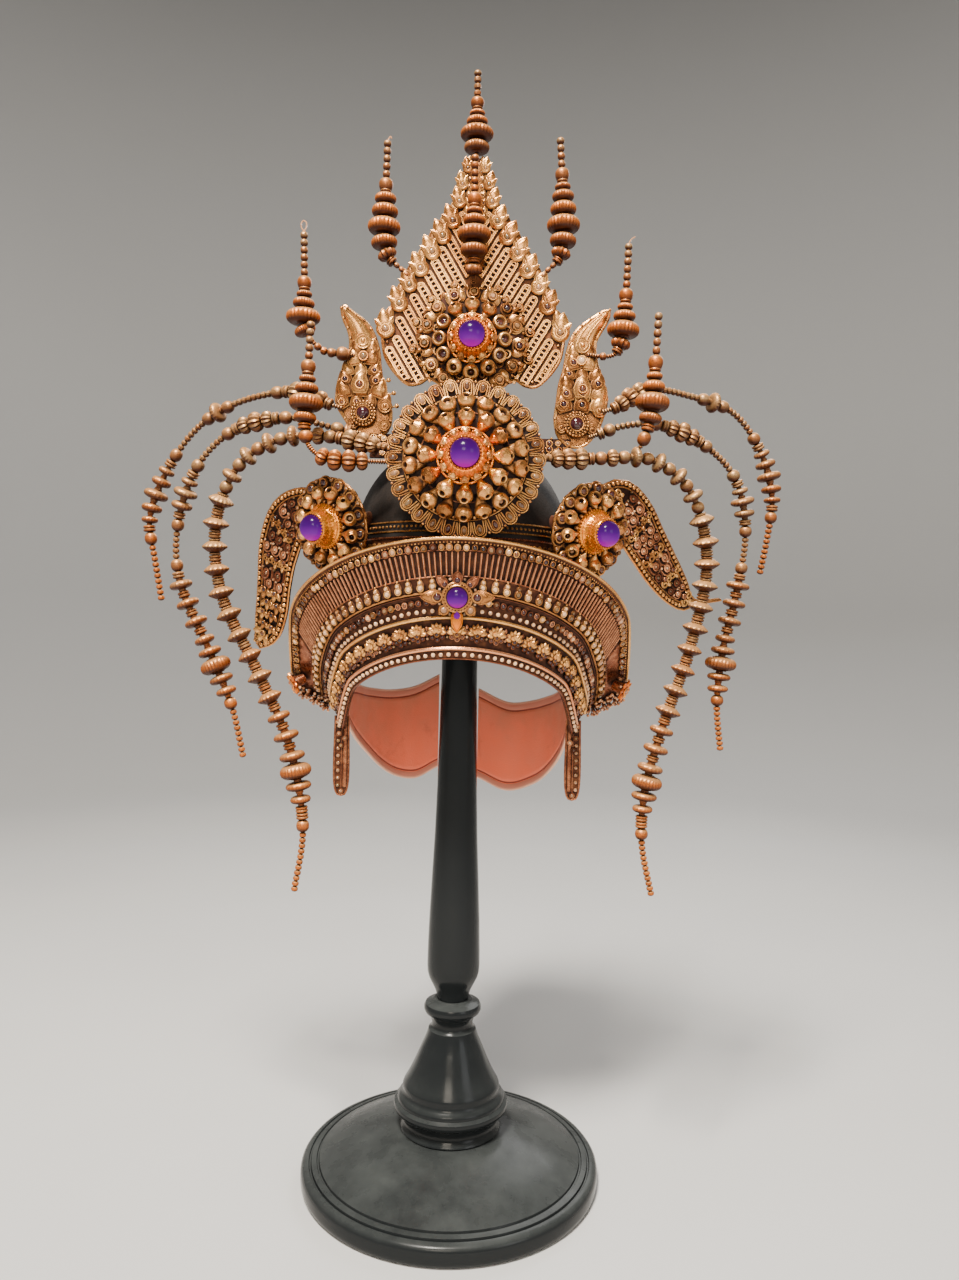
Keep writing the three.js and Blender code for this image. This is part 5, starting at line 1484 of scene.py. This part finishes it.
def rail_span(offset):
    """Where a rail runs between the bezels and the middle: its start and stop, or None if it has no room."""
    slope = math.radians(RAIL["slope"])
    down = np.array([-math.cos(slope), -math.sin(slope)])
    normal = np.array([-math.sin(slope), math.cos(slope)])
    first = np.array(PANEL_BEZELS[0][:2])
    points = first + normal * offset + np.outer(np.arange(-40, 160, 0.5), down)
    x, z = points.T
    edge = np.where(z > 572, panel_half(z) - 11.5, lobe_half(z) - 3.4)
    clear = np.linalg.norm(points - UPPER_MIDDLE, axis=1) > 27
    clear &= np.linalg.norm(points - first, axis=1) > 7.2
    runs = np.flatnonzero((x > 2.6) & (x < edge) & (z > lobe_low(np.abs(x)) + 1.6) & (z < 668) & clear)
    if len(runs) < 12:
        return None
    breaks = np.flatnonzero(np.diff(runs) > 1)
    return points[runs[0]], points[runs[breaks[0]] if len(breaks) else runs[-1]]


def rail_loop(start, stop):
    """A long double wire loop, round at its start, with bars across it; local X right, Y up."""
    start, stop = np.array([*start, 0.0]), np.array([*stop, 0.0])
    length, half = np.linalg.norm(stop - start), RAIL["width"] / 2
    y = unit(start - stop)
    ground = [(half, 0), (half, length - 2.8), (0, length), (-half, length - 2.8), (-half, 0)]
    reach = half - 1.0
    bars = [tube([(-reach, along, 0.8), (reach, along, 0.8)], RAIL["bar"], 6)
            for along in np.arange(1.0, length - 1.6, RAIL["bar_pitch"])]
    form = joined(
        hairpin(length, RAIL["width"], RAIL["wire"], RAIL["wire"]),
        hairpin(length - 1.0, RAIL["width"] - 1.9, 0.5, 1.0),
        plate(ground, 0.35, 0.1).toned(0.1), *bars,
    )
    return form.moved(axes(stop, np.cross(y, (0, 0, 1)), y, (0, 0, 1)))


def panel_outline():
    edge = [(panel_half(z) - 4.5, z) for z in np.linspace(572, 668, 12)]
    low = [(half - 0.8, z + 1) for half, z in PANEL_LOBE[::-1]]
    right = [*low, (58, 566), *edge, (5.0, 680.5), (3.4, 681.2)]
    return [*right, *[(-x, z) for x, z in reversed(right)]]


def add_panel_rim(parts, outline):
    """The wire and the grains along the lower lobes."""
    rim = [(x, z) for x, z in outline if z < 566]
    for side in (-1, 1):
        half = [(side * abs(x), z) for x, z in rim if x > 0]
        wire, _ = smooth_path(raised([*half, (side * 58, 572)], 0.6), 60)
        parts.add(tube(wire, 1.1).moved(RAISED))
        inner = wire - (side * 2.6, -2.6, 0)
        parts.copy(ball(0.95, 8, 4), [RAISED @ at(*point) for point in inner[6::3]])


def add_panel_bezels(parts):
    """The shields down both edges, with a leaf after each."""
    for index, (across, height, radius, lean) in enumerate(PANEL_BEZELS):
        forms = [shield(radius, tone).brighter(0.12) for tone in (0.18, 0.3)]
        gap = leaf(radius * 1.6, radius * 0.9, 1.8, wire=0.4)
        for side in (-1, 1):
            place = RAISED @ at(side * across, height, 0.8 + 0.05 * index, turn=-side * lean)
            parts.strew(forms, [place], 0.2, 2, 0.25)
            beside = at(side * (across - radius * 0.1), height + radius * 0.9, 0.1, turn=-side * (lean - 26))
            parts.copy(gap, [RAISED @ beside])


def add_panel_knots(parts):
    """Curls with a small stone, round the upper medallion."""
    for index, angle in enumerate(np.arange(12, 360, 13.2)):
        turn = math.radians(angle)
        side, reach = (1, 37.5) if index % 2 else (-1, 33.5)
        x, z = UPPER_MIDDLE[0] + reach * math.sin(turn), UPPER_MIDDLE[1] + reach * math.cos(turn)
        if abs(x) > panel_half(max(z, PANEL["low"])) - 12 or z < lobe_low(abs(x)) + 6:
            continue
        knot = joined(spiral(3.4, 1.4, 0.85, 22, 0.2, 200), bezel(1.5, 1.8, 9, PALE).at(0, 0, 0.8))
        parts.strew(knot, [RAISED @ at(x, z, 2.0, turn=-angle, size=(side, 1, 1))], 0.4, 20, 0.3)


def add_panel():
    parts = Parts(10)
    outline = panel_outline()
    parts.add(plate(outline, PANEL["thickness"], 0.3).toned(0.75))
    add_panel_rim(parts, outline)
    for k in range(RAIL["count"]):
        span = rail_span(RAIL["first"] + k * RAIL["pitch"])
        if span:
            parts.copy(rail_loop(*span).brighter(0.22), [RAISED @ at(size=(side, 1, 1)) for side in (-1, 1)],
                       0.2)
    add_panel_bezels(parts)
    parts.copy(rail_loop((0, 678), (0, 640)), [RAISED], 0.1)
    tuft = joined(leaf(7, 4.6, 2.2, wire=0.4), bezel(1.3, 1.6, 8).at(0, 2.6, 1.3))
    for height in np.arange(640, 676, 5.0):
        size = 0.55 + 0.45 * (680 - height) / 40
        for side in (-1, 1):
            place = at(side * 4.6 * size, height, 0.5, turn=-side * 14, size=size)
            parts.strew(tuft, [RAISED @ place], 0.2, 4, 0.3)
    add_panel_knots(parts)
    parts.add(plate([(-13, 484), (13, 484), (13, 541), (-13, 541)], 3, 0.3))
    parts.piece("panel_leaf", "antique_gold", front_of(PANEL["x"], PANEL["back"]), "panel")


# ---------------------------------------------------------------- flames
FLAMES = {
    "left": [
        (-76.9, 584), (-69.3, 578.5), (-62.5, 574), (-57.4, 567), (-53.5, 556), (-52.5, 546), (-50.5, 535),
        (-46.6, 526), (-45, 515), (-47, 506), (-56, 501), (-68, 505), (-73.5, 513), (-78.5, 521),
        (-79, 531), (-77, 540), (-73, 549), (-71, 560), (-72.4, 568), (-75.6, 575),
    ],
    "right": [
        (90.8, 584), (76.6, 576.2), (68.6, 568), (65, 558), (63, 546), (60.5, 537), (59, 524), (58, 514),
        (62, 502), (74, 498), (83.5, 507), (88, 518), (90, 529), (87.5, 539), (83.5, 550), (81.9, 563),
        (84.5, 569), (88.5, 576),
    ],
}
FLAME = {"back": -59, "thickness": 3.4}
ROSETTES = {"left": (-62, 515.8), "right": (71.2, 511.7)}
ARMS = {"left": (-58, -12, 489, 504), "right": (18, 68, 489, 503)}  # left, right, lower and upper edge
SCROLLS = ((524, 0, 4.2), (521, 1, 4.4), (510, 0, 3.6), (509, 1, 3.6))  # height, left or right edge, radius
TOP = at(0, 0, FLAME["thickness"] - 1)


def widths_at(outline, height):
    """Left and right edge of an outline at a height."""
    crossings = []
    for (x0, z0), (x1, z1) in zip(outline, np.roll(outline, -1, axis=0)):
        if (z0 - height) * (z1 - height) < 0:
            crossings.append(x0 + (x1 - x0) * (height - z0) / (z1 - z0))
    return np.array([min(crossings), max(crossings)])


def horn(outline, low, high, relief):
    """The smooth rounded top of a flame, from a height up to its tip."""
    arch = np.radians(np.linspace(0, 180, 11))
    loops = []
    for height in low + (high - low) * np.linspace(0, 1, 18) ** 0.85:
        left, right = widths_at(outline, height)
        half = max(0.25, (right - left) / 2 - 0.6)
        rise = relief * (1 - math.exp(-half / 2.2))
        across = (left + right) / 2 + half * np.cos(arch)
        loops.append(np.column_stack([across, np.full(len(arch), height), rise * np.sin(arch)]))
    return skin(loops, GOLD, inward=True)


def scroll_boss(radius):
    """Concentric raised rings round a knob."""
    bed = lathe([(0, 0), (radius, 0), (radius * 0.9, radius * 0.16), (0, radius * 0.34)], 28)
    knob = dome(radius * 0.3, radius * 0.3, 12, 4, radius * 0.25)
    rings = []
    for share in (0.92, 0.6):
        rings.append(ring(radius * share, radius * 0.13, 28, 7, 0.5 + radius * (1 - share) * 0.3))
    return joined(bed, *rings, knob)


def add_arm(parts, left, right, low, high):
    """The arm behind a flame, set with stones."""
    parts.add(plate([(left, low), (right, low), (right, high), (left, high)], 3.0, 0.4).toned(0.1))
    trim = [joined(bezel(2.3, 2.0, 12), ball(0.9, 8, 5).at(3.1, 1.6, 0.6)), bezel(1.9, 1.8, 10, PALE)]
    rows, columns = (low + 3.4, (low + high) / 2, high - 3), np.arange(left + 3, right - 2, 5.6)
    parts.strew(trim, [at(x, z, 2.6) for z in rows for x in columns], 0.6, 40, 0.4)


def add_horn(parts, outline):
    """The bare top of a flame, with two ridges that follow it up and a scroll at its foot."""
    tip = outline[:, 1].max()
    parts.add(horn(outline, 557, tip - 0.4, 3.6).moved(TOP).toned(0.75))
    heights = np.linspace(560, tip - 3, 12)
    edges = np.array([widths_at(outline, height) for height in heights])
    for share in (0.28, 0.62):
        ridge = np.column_stack([edges @ (1 - share, share), heights, np.full(12, 3.1)])
        parts.add(tube(ridge, np.linspace(1.0, 0.4, 12)).moved(TOP).toned(0.9))
    parts.add(scroll_boss(5.0).at(np.mean(widths_at(outline, 561)), 561, 2.6).moved(TOP).toned(0.75))


def add_scales(parts, outline):
    """Rounded lumps and leaves that cover the body, with small stones."""
    edge = leaf_outline(9, 7, 0.3)
    scale = joined(cushion(edge, 2.4, 4, (0, 3.6), 0.5), outline_wire(edge, 0.55, 0.9))
    lump = joined(scale, bezel(2.0, 1.8, 10).at(0, 3.2, 1.6))
    bulge = joined(ball(2.2, 12, 7).at(0, 2.4, 0.4, size=(1, 1.2, 0.8)), scale)
    for row, height in enumerate(np.arange(520, 556, 6.6)):
        left, right = widths_at(outline, height + 3) + (1, -1)
        count = max(2, round((right - left) / 8.4))
        cell = (right - left) / count
        for k in range(count):
            lean = -(k - (count - 1) / 2) * 20
            place = TOP @ at(left + cell * (k + 0.5), height, 0.2 + 0.12 * row, turn=lean, size=cell / 7.2)
            parts.strew([lump, bulge, scale], [place], 0.3, 6, 0.3)


def add_flames():
    for index, (word, rough) in enumerate(FLAMES.items()):
        parts = Parts(12 + index)
        outline = smooth_path(rough, 90, closed=True)[0]
        x, z = outline.T
        if np.sum(x * np.roll(z, -1) - np.roll(x, -1) * z) < 0:
            outline = outline[::-1]
        parts.add(plate(outline, FLAME["thickness"] - 1, 0.3, GOLD).toned(0.3),
                  outline_wire(outline[::2], 1.15, 2.5, 8).toned(0.7))
        add_arm(parts, *ARMS[word])
        add_horn(parts, outline)
        add_scales(parts, outline)
        heart = joined(leaf(13, 10, 2.4, GOLD, 0.8, 0.25), bezel(3.1, 2.6, 14).at(0, 4.6, 1.5)).toned(0.7)
        pale = bezel(3.3, 2.8, 14, PALE).toned(0.4 if word == "left" else 0.95)
        parts.add(heart.at(np.mean(widths_at(outline, 536)), 529, 2.2).moved(TOP),
                  pale.at(np.mean(widths_at(outline, 552)), 551.5, 2.2).moved(TOP))
        for height, edge, size in SCROLLS:
            x = widths_at(outline, height)[edge] + (3.2, -3.2)[edge]
            parts.add(scroll_boss(size).at(x, height, 1.8).moved(TOP))
        parts.copy(ball(0.95, 8, 5), [TOP @ at(*point, 1.0) for point in outline[::3]])
        if word == "left":
            pin = joined(tube([(0, 0, 0), (5.2, 1.2, 0.6)], 0.6, 6),
                         ball(1.5, 10, 6).at(5.6, 1.3, 0.6)).toned(0.95)
            for height in (536, 528, 520):
                parts.add(pin.at(widths_at(outline, height)[1] - 1.6, height, 0.6).moved(TOP))
        parts.piece(f"flame_leaf_{word}", "antique_gold", front_of(0, FLAME["back"]), f"flame_{word}")
        x, z = ROSETTES[word]
        parts.add(disc(7.6, 0.3, 1.8, GOLD, 32), granulated(7.3, 22, 0.95, 2.2, GOLD),
                  granulated(5.6, 18, 0.75, 3.0, GOLD),
                  ring(4.4, 0.6, 32, 7, 3.6), dome(4.1, 3.0, 20, 5, 2.6, DARK).toned(0.45))
        place = facing((x, FLAME["back"] - FLAME["thickness"] - 0.9, z))
        parts.piece(f"flame_flower_{word}", "antique_gold", place, f"flame_rosette_{word}")


add_wings()
add_panel()
add_flames()
